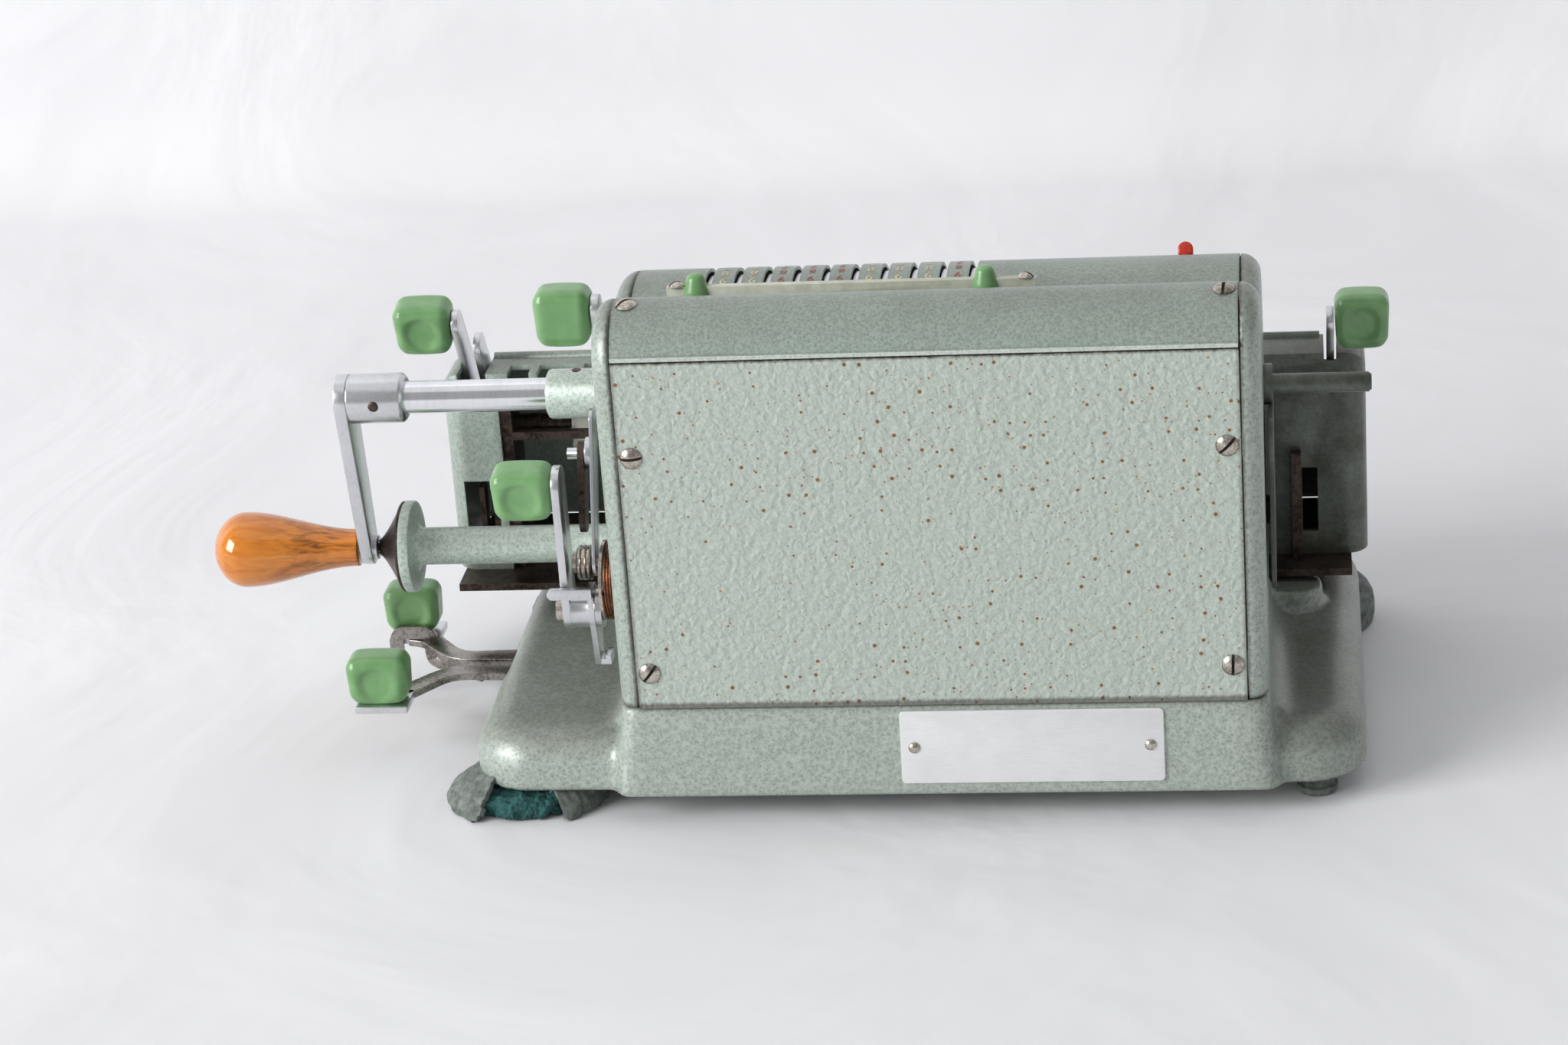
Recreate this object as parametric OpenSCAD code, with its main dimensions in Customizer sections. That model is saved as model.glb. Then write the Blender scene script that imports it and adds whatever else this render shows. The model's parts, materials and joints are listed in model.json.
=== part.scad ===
// Hand-cranked pinwheel calculator. +X is the machine's right, -Y its front, Z up, in millimetres.
// The origin is on the table, under the middle of the housing and the middle of the base's depth.

/* [Base casting] */
// Reach of the base to the right of the housing's middle
base_right = 165; // [155:1:175]
// Reach of the base to the left of the housing's middle
base_left = 142; // [136:1:155]
// Depth of the base from front to rear
base_depth = 184; // [178:1:200]
// Height of the casting's underside above the table
foot_h = 10; // [7:0.5:14]
// Height of the low side wings
wing_h = 20; // [18:0.5:23]
// Plan radius of the wing corners
base_corner_r = 22; // [16:1:26]
// Radius of the wings' upper edge
base_edge_r = 12; // [8:0.5:14]
// Height of the middle block above the casting's underside
block_h = 32.6; // [29:0.2:36]
// Spread of the block's sides at the bottom
block_flare = 4; // [2:0.5:5]
// Casting wall
base_wall = 5; // [4:0.5:6]

/* [Rubber feet] */
// Largest radius of a corner foot
foot_r = 25; // [23.5:0.5:26]
// Offset of a foot from the centre of the base's corner, towards the corner
foot_shift = 5; // [4:0.5:6]
// Height of the lip that hugs the base's corner
foot_lip_z = 20; // [16:0.5:22]
// Radius of the worn stub
stub_r = 7; // [5:0.5:9]

/* [Housing] */
// Width over both side frames
house_w = 219; // [212:1:226]
// Thickness of a side frame
frame_t = 7; // [6:0.5:9]
// Radius of the frames' outer edge
frame_edge_r = 6.6; // [4:0.2:6.8]
// Distance of the rear panel from the base's rear edge
rear_inset = 4; // [2:0.5:6]
// Height of the rear panel
panel_h = 124.7; // [122:0.1:126]
// Thickness of the rear panel
panel_t = 2; // [1.5:0.1:3]
// Radius of the rear top cover
hump_r = 19; // [17:0.5:20]
// Rise of the seam above the rear cover's centre
seam_rise = 3.9; // [2:0.1:6]
// Thickness of the curved cover sheets
sheet_t = 1.2; // [1:0.1:2]
// Radius of the drum cover
drum_r = 42; // [40:0.5:44]
// Distance from the rear panel to the rotor axis
axis_back = 67; // [65:0.5:69]
// Height of the rotor axis above the block
axis_rise = 89.9; // [88:0.1:92]

/* [Setting levers] */
// Number of setting levers
lever_count = 10; // [8:1:10]
// Spacing of the setting levers
lever_pitch = 10; // [9:0.1:10]
// Place of the first, units lever
lever_first_x = 77; // [70:1:80]
// Width of a slot in the drum cover
slot_w = 2.6; // [2.4:0.1:3.4]
// Play of a lever in its slot, each side
lever_play = 0.3; // [0.2:0.05:0.45]
// Reach of a setting lever's finger beyond the cover
finger_reach = 11; // [8:0.5:13]

/* [Crank] */
// Radius of the crank shaft
shaft_r = 5.7; // [5:0.1:6.5]
// Reach of the bearing boss from the side frame
boss_len = 27.5; // [22:0.5:32]
// Radius of the bearing boss
boss_r = 8.7; // [8:0.1:10]
// Distance from the side frame to the crank arm's inner face
arm_out = 97.9; // [94:0.1:102]
// Thickness of the crank arm
arm_t = 4.5; // [3.5:0.1:6]
// Radius of the crank hub
hub_r = 8.75; // [8:0.05:10]
// Length of the crank hub
hub_len = 20; // [16:0.5:24]
// Crank radius, from the shaft to the handle
crank_r = 61.8; // [58:0.2:66]
// Angle of the resting crank, forward of straight down
crank_lean = 10.3; // [6:0.1:14]
// Length of the pear-shaped grip
grip_len = 53; // [46:0.5:58]
// Largest radius of the grip
grip_r = 12; // [10:0.5:14]
// Radius of the grip's neck
neck_r = 6; // [5:0.25:7.5]

/* [Rest post] */
// Radius of the rest post
post_r = 6.7; // [5.5:0.1:8]
// Radius of the post's flange
flange_r = 16.4; // [14:0.2:18]
// Thickness of the post's flange
flange_t = 4; // [3:0.2:5]

/* [Key caps] */
// Width of a key cap
cap_w = 19.5; // [18:0.5:21]
// Depth of a key cap
cap_d = 15; // [13:0.5:17]
// Height of a key cap
cap_h = 18.5; // [16:0.5:20]
// Radius of a key cap's edges
cap_edge_r = 4.5; // [3:0.25:5]

/* [Carriage] */
// Length of the carriage
car_len = 334; // [326:1:336]
// Reach of the carriage to the right of the housing's middle
car_right = 189; // [184:1:192]
// Distance of the carriage from the housing's front
car_gap = 16; // [15:0.5:18]
// Depth of the carriage casing
car_depth = 57; // [54:0.5:60]
// Height of the carriage casing
car_h = 76.8; // [75:0.1:80]
// Wall of the carriage casing
car_wall = 2; // [1.5:0.1:2.5]
// Thickness of the carriage's bottom plate
plate_t = 2.7; // [2:0.1:3.5]
// Height of the rail above the base's deck
rail_h = 9.6; // [8:0.2:11]
// Number of result wheels
result_count = 13; // [10:1:13]
// Number of counter wheels
counter_count = 8; // [6:1:8]
// Radius of a number wheel
wheel_r = 12; // [10:0.5:12.5]

/* [Decimal bar] */
// Length of the decimal bar
bar_len = 124; // [110:1:130]
// Place of the bar's middle
bar_x = 26; // [20:1:30]
// Height of the bar
bar_h = 4.8; // [4:0.2:6]
// Thickness of the bar
bar_t = 3; // [2.4:0.1:3.4]

/* [Side levers] */
// Thickness of the flat levers
strip_t = 2.6; // [2:0.1:3.2]
// Radius of the pivot stud
stud_r = 3; // [2.5:0.1:3.5]
// Turns of the return spring
spring_turns = 4; // [3:1:4]
// Wire diameter of the return spring
spring_wire = 0.7; // [0.5:0.1:0.7]

/* [Left bearing] */
// Length of the rod on the left side
rod_len = 32.9; // [28:0.1:36]

/* [Hidden] */

// Colours of the finishes
enamel = "#a9bfb2";
cap_green = "#6fa35f";
satin = "#c4c7ca";
dark_steel = "#4a3d38";
nickel = "#b9b2a8";
amber = "#c9782a";
rubber = "#4b504e";

eps = 0.01;
clear = 0.3;
fit = 0.05;
seat = 0.05;

// Heights and depths of the main levels
deck_z = foot_h + wing_h;
block_z = foot_h + block_h;
rear_y = base_depth / 2 - rear_inset;
seam_z = block_z + panel_h;
hump_y = rear_y - hump_r;
hump_z = seam_z - seam_rise;
axis_y = rear_y - axis_back;
axis_z = block_z + axis_rise;
front_y = axis_y - drum_r;
frame_x = house_w / 2 - frame_t;
side_x = house_w / 2;
wing_rear_y = base_depth / 2 - 7;
wing_front_y = -base_depth / 2;

// Centres of the feet
foot_x_right = base_right - base_corner_r + foot_shift;
foot_x_left = base_corner_r - base_left - foot_shift;
foot_y_rear = wing_rear_y - base_corner_r + foot_shift;
foot_y_front = wing_front_y + base_corner_r - foot_shift;

// Crank handle and rest post line
handle_y = axis_y - crank_r * sin(crank_lean);
handle_z = axis_z - crank_r * cos(crank_lean);
arm_x = side_x + arm_out;
hub_x = arm_x - hub_len;
cone_tip_x = arm_x - 2.2;
cone_len = 8;
rim_t = 1.2;
flange_x = cone_tip_x - cone_len - rim_t - flange_t;

// Slots and levers of the drum: angles from the rear horizontal, over the top
nine_a = 82;
zero_a = 165;
slot_lo_a = 70;
slot_hi_a = 171;
ring_out_r = drum_r - sheet_t - 1.3;
ring_in_r = ring_out_r - 6;
sleeve_r = ring_in_r - clear;
sleeve_bore_r = sleeve_r - 2.3;
rotor_r = sleeve_bore_r - 1;
lever_t = slot_w - 2 * lever_play;

// Carriage levels
plate_z = deck_z + rail_h + 0.2;
car_z = plate_z + plate_t;
car_top = car_z + car_h;
ridge_r = 2.2;
ridge_up = -0.5;
car_rear = front_y - car_gap;
car_front = car_rear - car_depth;
car_left = car_right - car_len;
ridge_y = car_rear - 20;
slope_z = car_z + 39.5;
slope_a = atan2(ridge_y - car_front, car_top - slope_z);
reg_y = (ridge_y + car_front) / 2 + cos(slope_a) * (car_wall + wheel_r + 1);
reg_z = (car_top + slope_z) / 2 - sin(slope_a) * (car_wall + wheel_r + 1);
reg_shaft_r = 3;
wheel_t = 8;
result_x = lever_first_x + 64;
counter_x = result_x - 161;
open_x0 = car_left + 40;
open_x1 = car_right - 21;
clear_a = 60;
clear_len = 56;
clear_left_a = 55;
clear_left_len = 51.5;

// Side lever pivots
side_y = rear_y - 25;
side_z = block_z + 26.9;
link_y = rear_y - 25;
link_z = block_z + 43.8;
stud_len = 22.8;
plate_b_x = side_x + 9;
plate_a_x = side_x + 17.4;
drum_y = rear_y - 29;
drum_z = block_z + 35.5;
drum_len = 5.4;
spool_r = 11.6;
hub_gap_x = side_x + drum_len + 1.1 + clear;

// Step lever pivot inside the base
step_x = base_right - 17;
step_z = foot_h + 12;
step_y = 4;
step_pin_r = 1.6;

// Extrude a (Y, Z) outline along X
module along_x(x0, len) {
    translate([x0, 0, 0]) rotate([90, 0, 90]) linear_extrude(len) children();
}

// Put a (radius, x) revolve around an axis along X
module around_x(y, z) {
    translate([0, y, z]) rotate([90, 0, 90]) children();
}

// Round bar along X
module bar_x(x0, x1, y, z, r) {
    translate([x0, y, z]) rotate([0, 90, 0]) cylinder(h = x1 - x0, r = r, $fn = 64);
}

// Round bar along Y
module bar_y(y0, y1, x, z, r) {
    translate([x, y1, z]) rotate([90, 0, 0]) cylinder(h = y1 - y0, r = r, $fn = 48);
}

// Flat strip with round ends between two (Y, Z) points
module strip(x0, t, y0, z0, y1, z1, r0, r1) {
    a = atan2(z1 - z0, y1 - y0);
    along_x(x0, t) union() {
        translate([y0, z0]) rotate(a) circle(r0, $fn = 48);
        translate([y1, z1]) rotate(a) circle(r1, $fn = 48);
        link_2d(y0, z0, y1, z1, r0, r1);
    }
}

// Straight sides of a strip, tangent to both ends
module link_2d(y0, z0, y1, z1, r0, r1) {
    len = norm([y1 - y0, z1 - z0]);
    a = atan2(z1 - z0, y1 - y0);
    f = acos((r0 - r1) / len);
    translate([y0, z0]) rotate(a) polygon([
        [r0 * cos(f), -r0 * sin(f)], [len + r1 * cos(f), -r1 * sin(f)],
        [len + r1 * cos(f), r1 * sin(f)], [r0 * cos(f), r0 * sin(f)]]);
}

// Plan outline of the base wings, grown by g
module wing_outline(g = 0) {
    x0 = -base_left - g;
    x1 = base_right + g;
    y0 = wing_front_y - g;
    y1 = wing_rear_y + g;
    r = base_corner_r + g;
    translate([x0 + r, y0]) square([x1 - x0 - 2 * r, y1 - y0]);
    translate([x0, y0 + r]) square([x1 - x0, y1 - y0 - 2 * r]);
    for (x = [x0 + r, x1 - r], y = [y0 + r, y1 - r]) translate([x, y]) circle(r, $fn = 64);
}

// One corner of the wings: a disc with a rounded upper edge
module wing_corner() {
    e = base_edge_r;
    rotate_extrude($fn = 48) union() {
        square([base_corner_r, wing_h - e]);
        square([base_corner_r - e, wing_h]);
        intersection() {
            translate([base_corner_r - e, wing_h - e]) circle(e, $fn = 32);
            square([base_corner_r, wing_h]);
        }
    }
}

module wing_slab() {
    r = base_corner_r;
    hull() for (x = [r - base_left, base_right - r], y = [wing_front_y + r, wing_rear_y - r])
        translate([x, y, foot_h]) wing_corner();
}

// Middle block under the housing, wider at the bottom, with rounded rear corners
module middle_block() {
    r = 6;
    y0 = front_y + 1;
    hull() {
        for (s = [-1, 1]) {
            translate([s * (side_x - r), rear_y - r, block_z - 1]) cylinder(h = 1, r = r, $fn = 32);
            translate([s * (side_x + block_flare - r), rear_y + 3 - r, foot_h])
                cylinder(h = 1, r = r, $fn = 32);
            translate([s * (side_x - 1), y0, block_z - 1]) cylinder(h = 1, r = 1, $fn = 32);
            translate([s * (side_x + block_flare - 1), y0, foot_h]) cylinder(h = 1, r = 1, $fn = 32);
        }
    }
}

// Hollow fillets where the block rises out of the wings
module block_fillets() {
    r = 9;
    y0 = front_y + 3;
    len = wing_rear_y - base_edge_r - y0;
    for (s = [-1, 1]) translate([s * (side_x + block_flare * 0.25), y0, deck_z]) difference() {
        translate([s > 0 ? -2 : -r, 0, -1]) cube([r + 2, len, r + 1]);
        translate([s * r, -1, r]) rotate([-90, 0, 0]) cylinder(h = len + 2, r = r, $fn = 64);
    }
}

module base() {
    w = base_wall;
    color(enamel) difference() {
        union() {
            difference() {
                union() {
                    wing_slab();
                    middle_block();
                    block_fillets();
                    for (x = [-side_x - 8, side_x + 8])
                        translate([x, front_y - 2, deck_z - 1]) cylinder(h = 8.7, r = 11, $fn = 64);
                }
                // hollow underside
                translate([-base_left + w + 4, wing_front_y + w + 4, foot_h - 1])
                    cube([base_left + base_right - 2 * w - 8, wing_rear_y - wing_front_y - 2 * w - 8,
                        wing_h - w + 1]);
                translate([-side_x + w, front_y + w + 3, foot_h - 1])
                    cube([2 * (side_x - w), rear_y - front_y - 2 * w - 4, block_h - w + 1]);
            }
            // sockets of the feet's screws
            for (x = [foot_x_left, foot_x_right], y = [foot_y_front, foot_y_rear])
                translate([x, y, foot_h])
                    cylinder(h = wing_h - w + 1, r = base_corner_r - foot_shift - w - 3.4, $fn = 48);
            // lugs and pin of the step levers
            for (y = [step_y - 21, step_y + 17])
                translate([step_x - 5, y, step_z - 6]) cube([10, 4, deck_z - step_z + 4]);
            bar_y(step_y - 20, step_y + 20, step_x, step_z, step_pin_r);
        }
        // slot in the right wall for the step levers
        translate([base_right - w - 5, step_y - 14, step_z - 7]) cube([w + 10, 28, 10.5]);
    }
}

// Corner foot: a soft dome that hugs the base's corner
module corner_foot(x, y) {
    r = foot_r;
    color(rubber) difference() {
        translate([x, y, 0]) rotate_extrude($fn = 96) polygon([
            [0, 0], [r - 3.5, 0], [r - 1.6, 1.2], [r - 0.5, 3.5], [r, 7], [r - 0.3, 11],
            [r - 1.3, 15], [r - 3, 18.4], [r - 4.6, foot_lip_z], [0, foot_lip_z]]);
        translate([0, 0, foot_h]) linear_extrude(40) wing_outline(seat);
    }
}

module foot_rear_right() corner_foot(foot_x_right, foot_y_rear);
module foot_front_right() corner_foot(foot_x_right, foot_y_front);
module foot_front_left() corner_foot(foot_x_left, foot_y_front);
module foot_rear_left() {
    color(rubber) translate([foot_x_left, foot_y_rear, 0]) cylinder(h = foot_h, r = stub_r, $fn = 48);
}

// Disc with a rounded outer rim, on the axis (y, z), outer face at side_x
module frame_disc(y, z, r) {
    e = frame_edge_r;
    around_x(y, z) rotate_extrude($fn = 128) translate([0, frame_x]) union() {
        square([r, frame_t - e]);
        square([r - e, frame_t]);
        intersection() {
            translate([r - e, frame_t - e]) circle(e, $fn = 48);
            square([r, frame_t]);
        }
    }
}

// Upright edge of a frame with its outer edge rounded, from y = inner to y = outer
module frame_edge(inner, outer, z0, z1) {
    e = frame_edge_r;
    s = sign(outer - inner);
    translate([0, 0, z0]) linear_extrude(z1 - z0) union() {
        translate([frame_x, min(inner, outer - s * e)]) square([frame_t, abs(outer - s * e - inner)]);
        translate([frame_x, min(inner, outer)]) square([frame_t - e, abs(outer - inner)]);
        intersection() {
            translate([side_x - e, outer - s * e]) circle(e, $fn = 48);
            translate([frame_x, min(inner, outer)]) square([frame_t, abs(outer - inner)]);
        }
    }
}

screw_x = frame_x - 4.5;
screw_zs = [block_z + 13.1, block_z + 91.2];
cover_screw_a = 80;

// Plain side frame on the right; the left one is its mirror image
module frame_plate() {
    frame_disc(hump_y, hump_z, hump_r);
    frame_disc(axis_y, axis_z, drum_r);
    frame_edge(rear_y - 10, rear_y, block_z, hump_z);
    frame_edge(front_y + 10, front_y, block_z, axis_z);
    along_x(frame_x, frame_t) polygon([
        [rear_y - 8, block_z], [rear_y - 8, hump_z], [hump_y, hump_z], [axis_y, axis_z],
        [front_y + 8, axis_z], [front_y + 8, block_z]]);
    // posts for the panel's and the cover's screws
    for (z = screw_zs) bar_y(rear_y - panel_t - 10, rear_y - panel_t, screw_x, z, 4.5);
    translate([screw_x, hump_y, hump_z]) rotate([cover_screw_a - 90, 0, 0])
        cylinder(h = hump_r - sheet_t, r = 4.5, $fn = 48);
}

module frame_holes() {
    for (z = screw_zs) bar_y(rear_y - panel_t - 8, rear_y - panel_t + 1, screw_x, z, 2 + fit);
    translate([screw_x, hump_y, hump_z]) rotate([cover_screw_a - 90, 0, 0])
        translate([0, 0, hump_r - sheet_t - 8]) cylinder(h = 9, r = 2 + fit, $fn = 48);
}

module side_frame_right() {
    color(enamel) difference() {
        frame_plate();
        frame_holes();
        bar_x(frame_x - 1, side_x + 1, axis_y, axis_z, shaft_r + fit);
    }
}

// The left frame also carries the collar of the red tab
module side_frame_left() {
    color(enamel) difference() {
        union() {
            mirror([1, 0, 0]) frame_plate();
            bar_x(-frame_x - 1, -tab_x + 3.2, axis_y, axis_z, sleeve_r);
        }
        mirror([1, 0, 0]) frame_holes();
        bar_x(-side_x + 2, -tab_x + 6, axis_y, axis_z, shaft_r + fit);
        bar_x(-frame_x + 2, -tab_x + 6, axis_y, axis_z, sleeve_bore_r);
    }
}

module rear_panel() {
    color(enamel) difference() {
        translate([-frame_x, rear_y - panel_t, block_z]) cube([2 * frame_x, panel_t, panel_h - 0.4]);
        for (s = [-1, 1], z = screw_zs) bar_y(rear_y - panel_t - 1, rear_y + 1, s * screw_x, z, 2.2);
    }
}

// Part of a ring in the side view, from angle a0 to a1
module ring_sector(r0, r1, a0, a1) {
    intersection() {
        difference() {
            circle(r1, $fn = 128);
            circle(r0, $fn = 128);
        }
        polygon([[0, 0], for (k = [0 : 3]) let (a = a0 + (a1 - a0) * k / 3) 2 * r1 * [cos(a), sin(a)]]);
    }
}

// Curved sheet between the frames, from angle a0 to a1
module curved_sheet(y, z, r, a0, a1, t) {
    along_x(-frame_x, 2 * frame_x) translate([y, z]) ring_sector(r - t, r, a0, a1);
}

seam_a = asin(seam_rise / hump_r);

module rear_cover() {
    lip_r = 1.1;
    color(enamel) difference() {
        union() {
            curved_sheet(hump_y, hump_z, hump_r, seam_a + 2, 172, sheet_t);
            // rolled lip above the seam
            bar_x(-frame_x, frame_x, hump_y + (hump_r - 0.7) * cos(seam_a + 3.5),
                hump_z + (hump_r - 0.7) * sin(seam_a + 3.5), lip_r);
        }
        for (s = [-1, 1]) translate([s * screw_x, hump_y, hump_z]) rotate([cover_screw_a - 90, 0, 0])
            translate([0, 0, hump_r - 4]) cylinder(h = 8, r = 2.2, $fn = 48);
    }
}

tab_x = side_x - 25.5;

// Sheet over the drum, rolled in narrow flats, with a slot for each lever
module drum_cover() {
    color(enamel) difference() {
        along_x(-frame_x, 2 * frame_x) translate([axis_y, axis_z]) polygon(concat(
            [[-drum_r, -20]], [for (k = [0 : 18]) drum_r * [cos(180 - k * 7.2), sin(180 - k * 7.2)]],
            [for (k = [18 : -1 : 0]) (drum_r - sheet_t) * [cos(180 - k * 7.2), sin(180 - k * 7.2)]],
            [[sheet_t - drum_r, -20]]));
        for (i = [0 : lever_count - 1])
            lever_slot(lever_first_x - i * lever_pitch, slot_w, slot_lo_a, slot_hi_a);
        lever_slot(-tab_x, slot_w + 0.4, 112, 162);
    }
}

// Slot round the drum for a lever at x
module lever_slot(x, w, a0, a1) {
    along_x(x - w / 2, w) translate([axis_y, axis_z]) ring_sector(drum_r - 4, drum_r + 4, a0, a1);
}

// Lower front of the housing, behind the carriage
module front_plate() {
    color(enamel) translate([-frame_x, front_y, block_z])
        cube([2 * frame_x, sheet_t, axis_rise - 24]);
}

// Slotted screw with a low domed head, along +Z from the seat
module slotted_screw(head_r, head_h, len, shank_r) {
    dome = (head_r * head_r + head_h * head_h) / (2 * head_h);
    difference() {
        union() {
            intersection() {
                translate([0, 0, head_h - dome]) sphere(dome, $fn = 64);
                cylinder(h = head_h, r = head_r, $fn = 48);
            }
            translate([0, 0, -len]) cylinder(h = len + eps, r = shank_r, $fn = 32);
        }
        translate([-head_r - 1, -0.45, head_h - 0.9]) cube([2 * head_r + 2, 0.9, 2]);
    }
}

plate_w = 88.7;
plate_h = 25.8;
plate_x = -74.5;
plate_rise = 4.8;
wall_tilt = atan2(3, block_h - 1);

// Place something on the block's sloping rear wall, x along it and z up it
module on_rear_wall(x, up) {
    translate([x, rear_y, block_z]) rotate([wall_tilt, 0, 0])
        translate([0, 0, up - block_h]) children();
}

bar_y_pos = rear_y - 40;
bar_z = hump_z + hump_r - 7.4;
bar_end = bar_len / 2 - 3.5;

module fasteners() {
    color(nickel) {
        // rear panel
        for (s = [-1, 1], z = screw_zs) translate([s * screw_x, rear_y + seat, z]) rotate([-90, 0, 0])
            rotate([0, 0, z * 7 + s * 30]) slotted_screw(3.7, 1.5, panel_t + 6, 2);
        // rear cover
        for (s = [-1, 1]) translate([s * screw_x, hump_y, hump_z]) rotate([cover_screw_a - 90, 0, 0])
            translate([0, 0, hump_r + seat]) rotate([0, 0, 40 * s])
                slotted_screw(3.7, 1.7, sheet_t + 6, 2);
        // decimal bar
        for (s = [-1, 1]) translate([bar_x + s * bar_end, bar_y_pos, bar_z + bar_h + seat])
            slotted_screw(2.7, 1.6, bar_h + 2, 1.1);
        // nameplate rivets
        for (x = [plate_x + 4.6, plate_x + plate_w - 4.6]) on_rear_wall(x, plate_rise + plate_h / 2)
            translate([0, 0.85 + seat, 0]) rotate([-90, 0, 0]) intersection() {
                translate([0, 0, -1.4]) sphere(2.4, $fn = 48);
                cylinder(h = 2, r = 1.9, $fn = 48);
            }
    }
}

module nameplate() {
    color("#d9dbda") on_rear_wall(plate_x, plate_rise)
        translate([0, seat, 0]) cube([plate_w, 0.8, plate_h]);
}

module crank_bearing() {
    color(enamel) difference() {
        around_x(axis_y, axis_z) rotate_extrude($fn = 96) polygon([
            [0, side_x], [boss_r, side_x], [boss_r, side_x + boss_len - 1.5],
            [boss_r - 0.5, side_x + boss_len - 0.4], [boss_r - 1.5, side_x + boss_len],
            [0, side_x + boss_len]]);
        bar_x(side_x - 1, side_x + boss_len + 1, axis_y, axis_z, shaft_r + fit);
        // oil hole
        translate([side_x + 17, axis_y, axis_z]) cylinder(h = boss_r + 1, r = 1.1, $fn = 24);
    }
}

module rest_post() {
    color(enamel) union() {
        bar_x(side_x, flange_x + 1, handle_y, handle_z, post_r);
        around_x(handle_y, handle_z) rotate_extrude($fn = 96) polygon([
            [0, flange_x - 1.5], [post_r + 0.2, flange_x - 1.5],
            [post_r + 2, flange_x - 0.4], [post_r + 4, flange_x],
            [flange_r - 0.8, flange_x], [flange_r, flange_x + 0.8],
            [flange_r, flange_x + flange_t - 0.6],
            [flange_r - 0.6, flange_x + flange_t], [0, flange_x + flange_t]]);
    }
}

// Hardened cone that guides the handle's pin home
module rest_cone() {
    x0 = flange_x + flange_t;
    color(dark_steel) around_x(handle_y, handle_z) rotate_extrude($fn = 96) polygon([
        [0, x0], [flange_r - 0.5, x0], [flange_r - 0.1, x0 + rim_t * 0.5], [flange_r - 0.9, x0 + rim_t],
        [flange_r * 0.62, x0 + rim_t + cone_len * 0.3], [flange_r * 0.36, x0 + rim_t + cone_len * 0.58],
        [3, cone_tip_x], [0, cone_tip_x]]);
}

rod_z = axis_z - 2.7;
plate_l_t = 1.6;
plate_l_gap = 1.5;

module left_rod() {
    x0 = -side_x - plate_l_gap - plate_l_t;
    x1 = x0 - rod_len;
    color(enamel) around_x(axis_y, rod_z) rotate_extrude($fn = 64) polygon([
        [0, x1 - 0.4], [1.6, x1], [3.45, x1 + 1.5], [3.45, x0], [0, x0]]);
}

// Thin plate on a boss, the rod's seat
module left_bearing_plate() {
    h = 62;
    w = 50;
    r = 6;
    y0 = axis_y - 26;
    z0 = axis_z - 70;
    color(enamel) {
        along_x(-side_x - plate_l_gap - plate_l_t, plate_l_t) union() {
            translate([y0 + r, z0]) square([w - 2 * r, h]);
            translate([y0, z0 + r]) square([w, h - 2 * r]);
            for (y = [y0 + r, y0 + w - r], z = [z0 + r, z0 + h - r])
                translate([y, z]) circle(r, $fn = 32);
            translate([axis_y, rod_z]) circle(7, $fn = 48);
        }
        bar_x(-side_x - plate_l_gap - eps, -side_x, axis_y, rod_z, 7);
        bar_x(-side_x - plate_l_gap - eps, -side_x, axis_y, rod_z - 46, 5);
    }
}

// Light bar in the valley between the covers, on two feet
module decimal_bar() {
    color("#d6d3c6") difference() {
        union() {
            translate([bar_x - bar_len / 2, bar_y_pos - bar_t / 2, bar_z]) cube([bar_len, bar_t, bar_h]);
            for (s = [-1, 1]) translate([bar_x + s * bar_end - 3.5, bar_y_pos - 3, bar_z - 16])
                cube([7, 6, 16]);
        }
        bar_x(-frame_x, frame_x, hump_y, hump_z, hump_r + seat);
        bar_x(-frame_x, frame_x, axis_y, axis_z, drum_r + seat);
        for (s = [-1, 1]) translate([bar_x + s * bar_end, bar_y_pos, bar_z - 2.5])
            cylinder(h = bar_h + 3.5, r = 1.2, $fn = 32);
    }
}

// Conical slider astride the decimal bar
module decimal_slider(x) {
    z0 = bar_z + 0.2;
    color(cap_green) difference() {
        translate([x, bar_y_pos, z0]) rotate_extrude($fn = 64) polygon([
            [0, 0], [4.4, 0], [4.7, 0.6], [4.5, 2.2], [3.1, 7], [2.6, 8], [1.6, 8.7], [0, 8.9]]);
        translate([x - 6, bar_y_pos - bar_t / 2 - 0.25, z0 - 1]) cube([12, bar_t + 0.5, bar_h + 1.1]);
    }
}

module decimal_slider_right() decimal_slider(78);
module decimal_slider_left() decimal_slider(-19);

module carriage_rail() {
    color(dark_steel) translate([-base_left + 12, reg_y - 5, deck_z])
        cube([base_left + base_right - 32, 10, rail_h]);
}

// Fixed drum that the setting levers swing on, grooved for each lever
module lever_drum() {
    x_end = lever_first_x - (lever_count - 1) * lever_pitch - 6;
    rib = lever_pitch - slot_w;
    color(dark_steel) around_x(axis_y, axis_z) rotate_extrude($fn = 96) union() {
        translate([sleeve_bore_r, x_end]) square([sleeve_r - sleeve_bore_r, frame_x - x_end]);
        for (i = [0 : lever_count])
            translate([sleeve_r - 1, lever_first_x + 5 - i * lever_pitch - rib / 2]) square([4.5, rib]);
    }
}

// Sector of a setting lever with its finger, zero position
module setting_lever(i) {
    x = lever_first_x - (i - 1) * lever_pitch;
    tip = drum_r + finger_reach - 3.5;
    color(satin) along_x(x - lever_t / 2, lever_t) translate([axis_y, axis_z]) {
        ring_sector(ring_in_r, ring_out_r, zero_a - 115, zero_a + 15);
        rotate(zero_a) {
            translate([ring_in_r + 1, -2.5]) square([tip - ring_in_r - 1, 5]);
            translate([tip, 0]) circle(3.2, $fn = 48);
        }
    }
}

module setting_lever_1() setting_lever(1);
module setting_lever_2() setting_lever(2);
module setting_lever_3() setting_lever(3);
module setting_lever_4() setting_lever(4);
module setting_lever_5() setting_lever(5);
module setting_lever_6() setting_lever(6);
module setting_lever_7() setting_lever(7);
module setting_lever_8() setting_lever(8);
module setting_lever_9() setting_lever(9);
module setting_lever_10() setting_lever(10);

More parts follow.
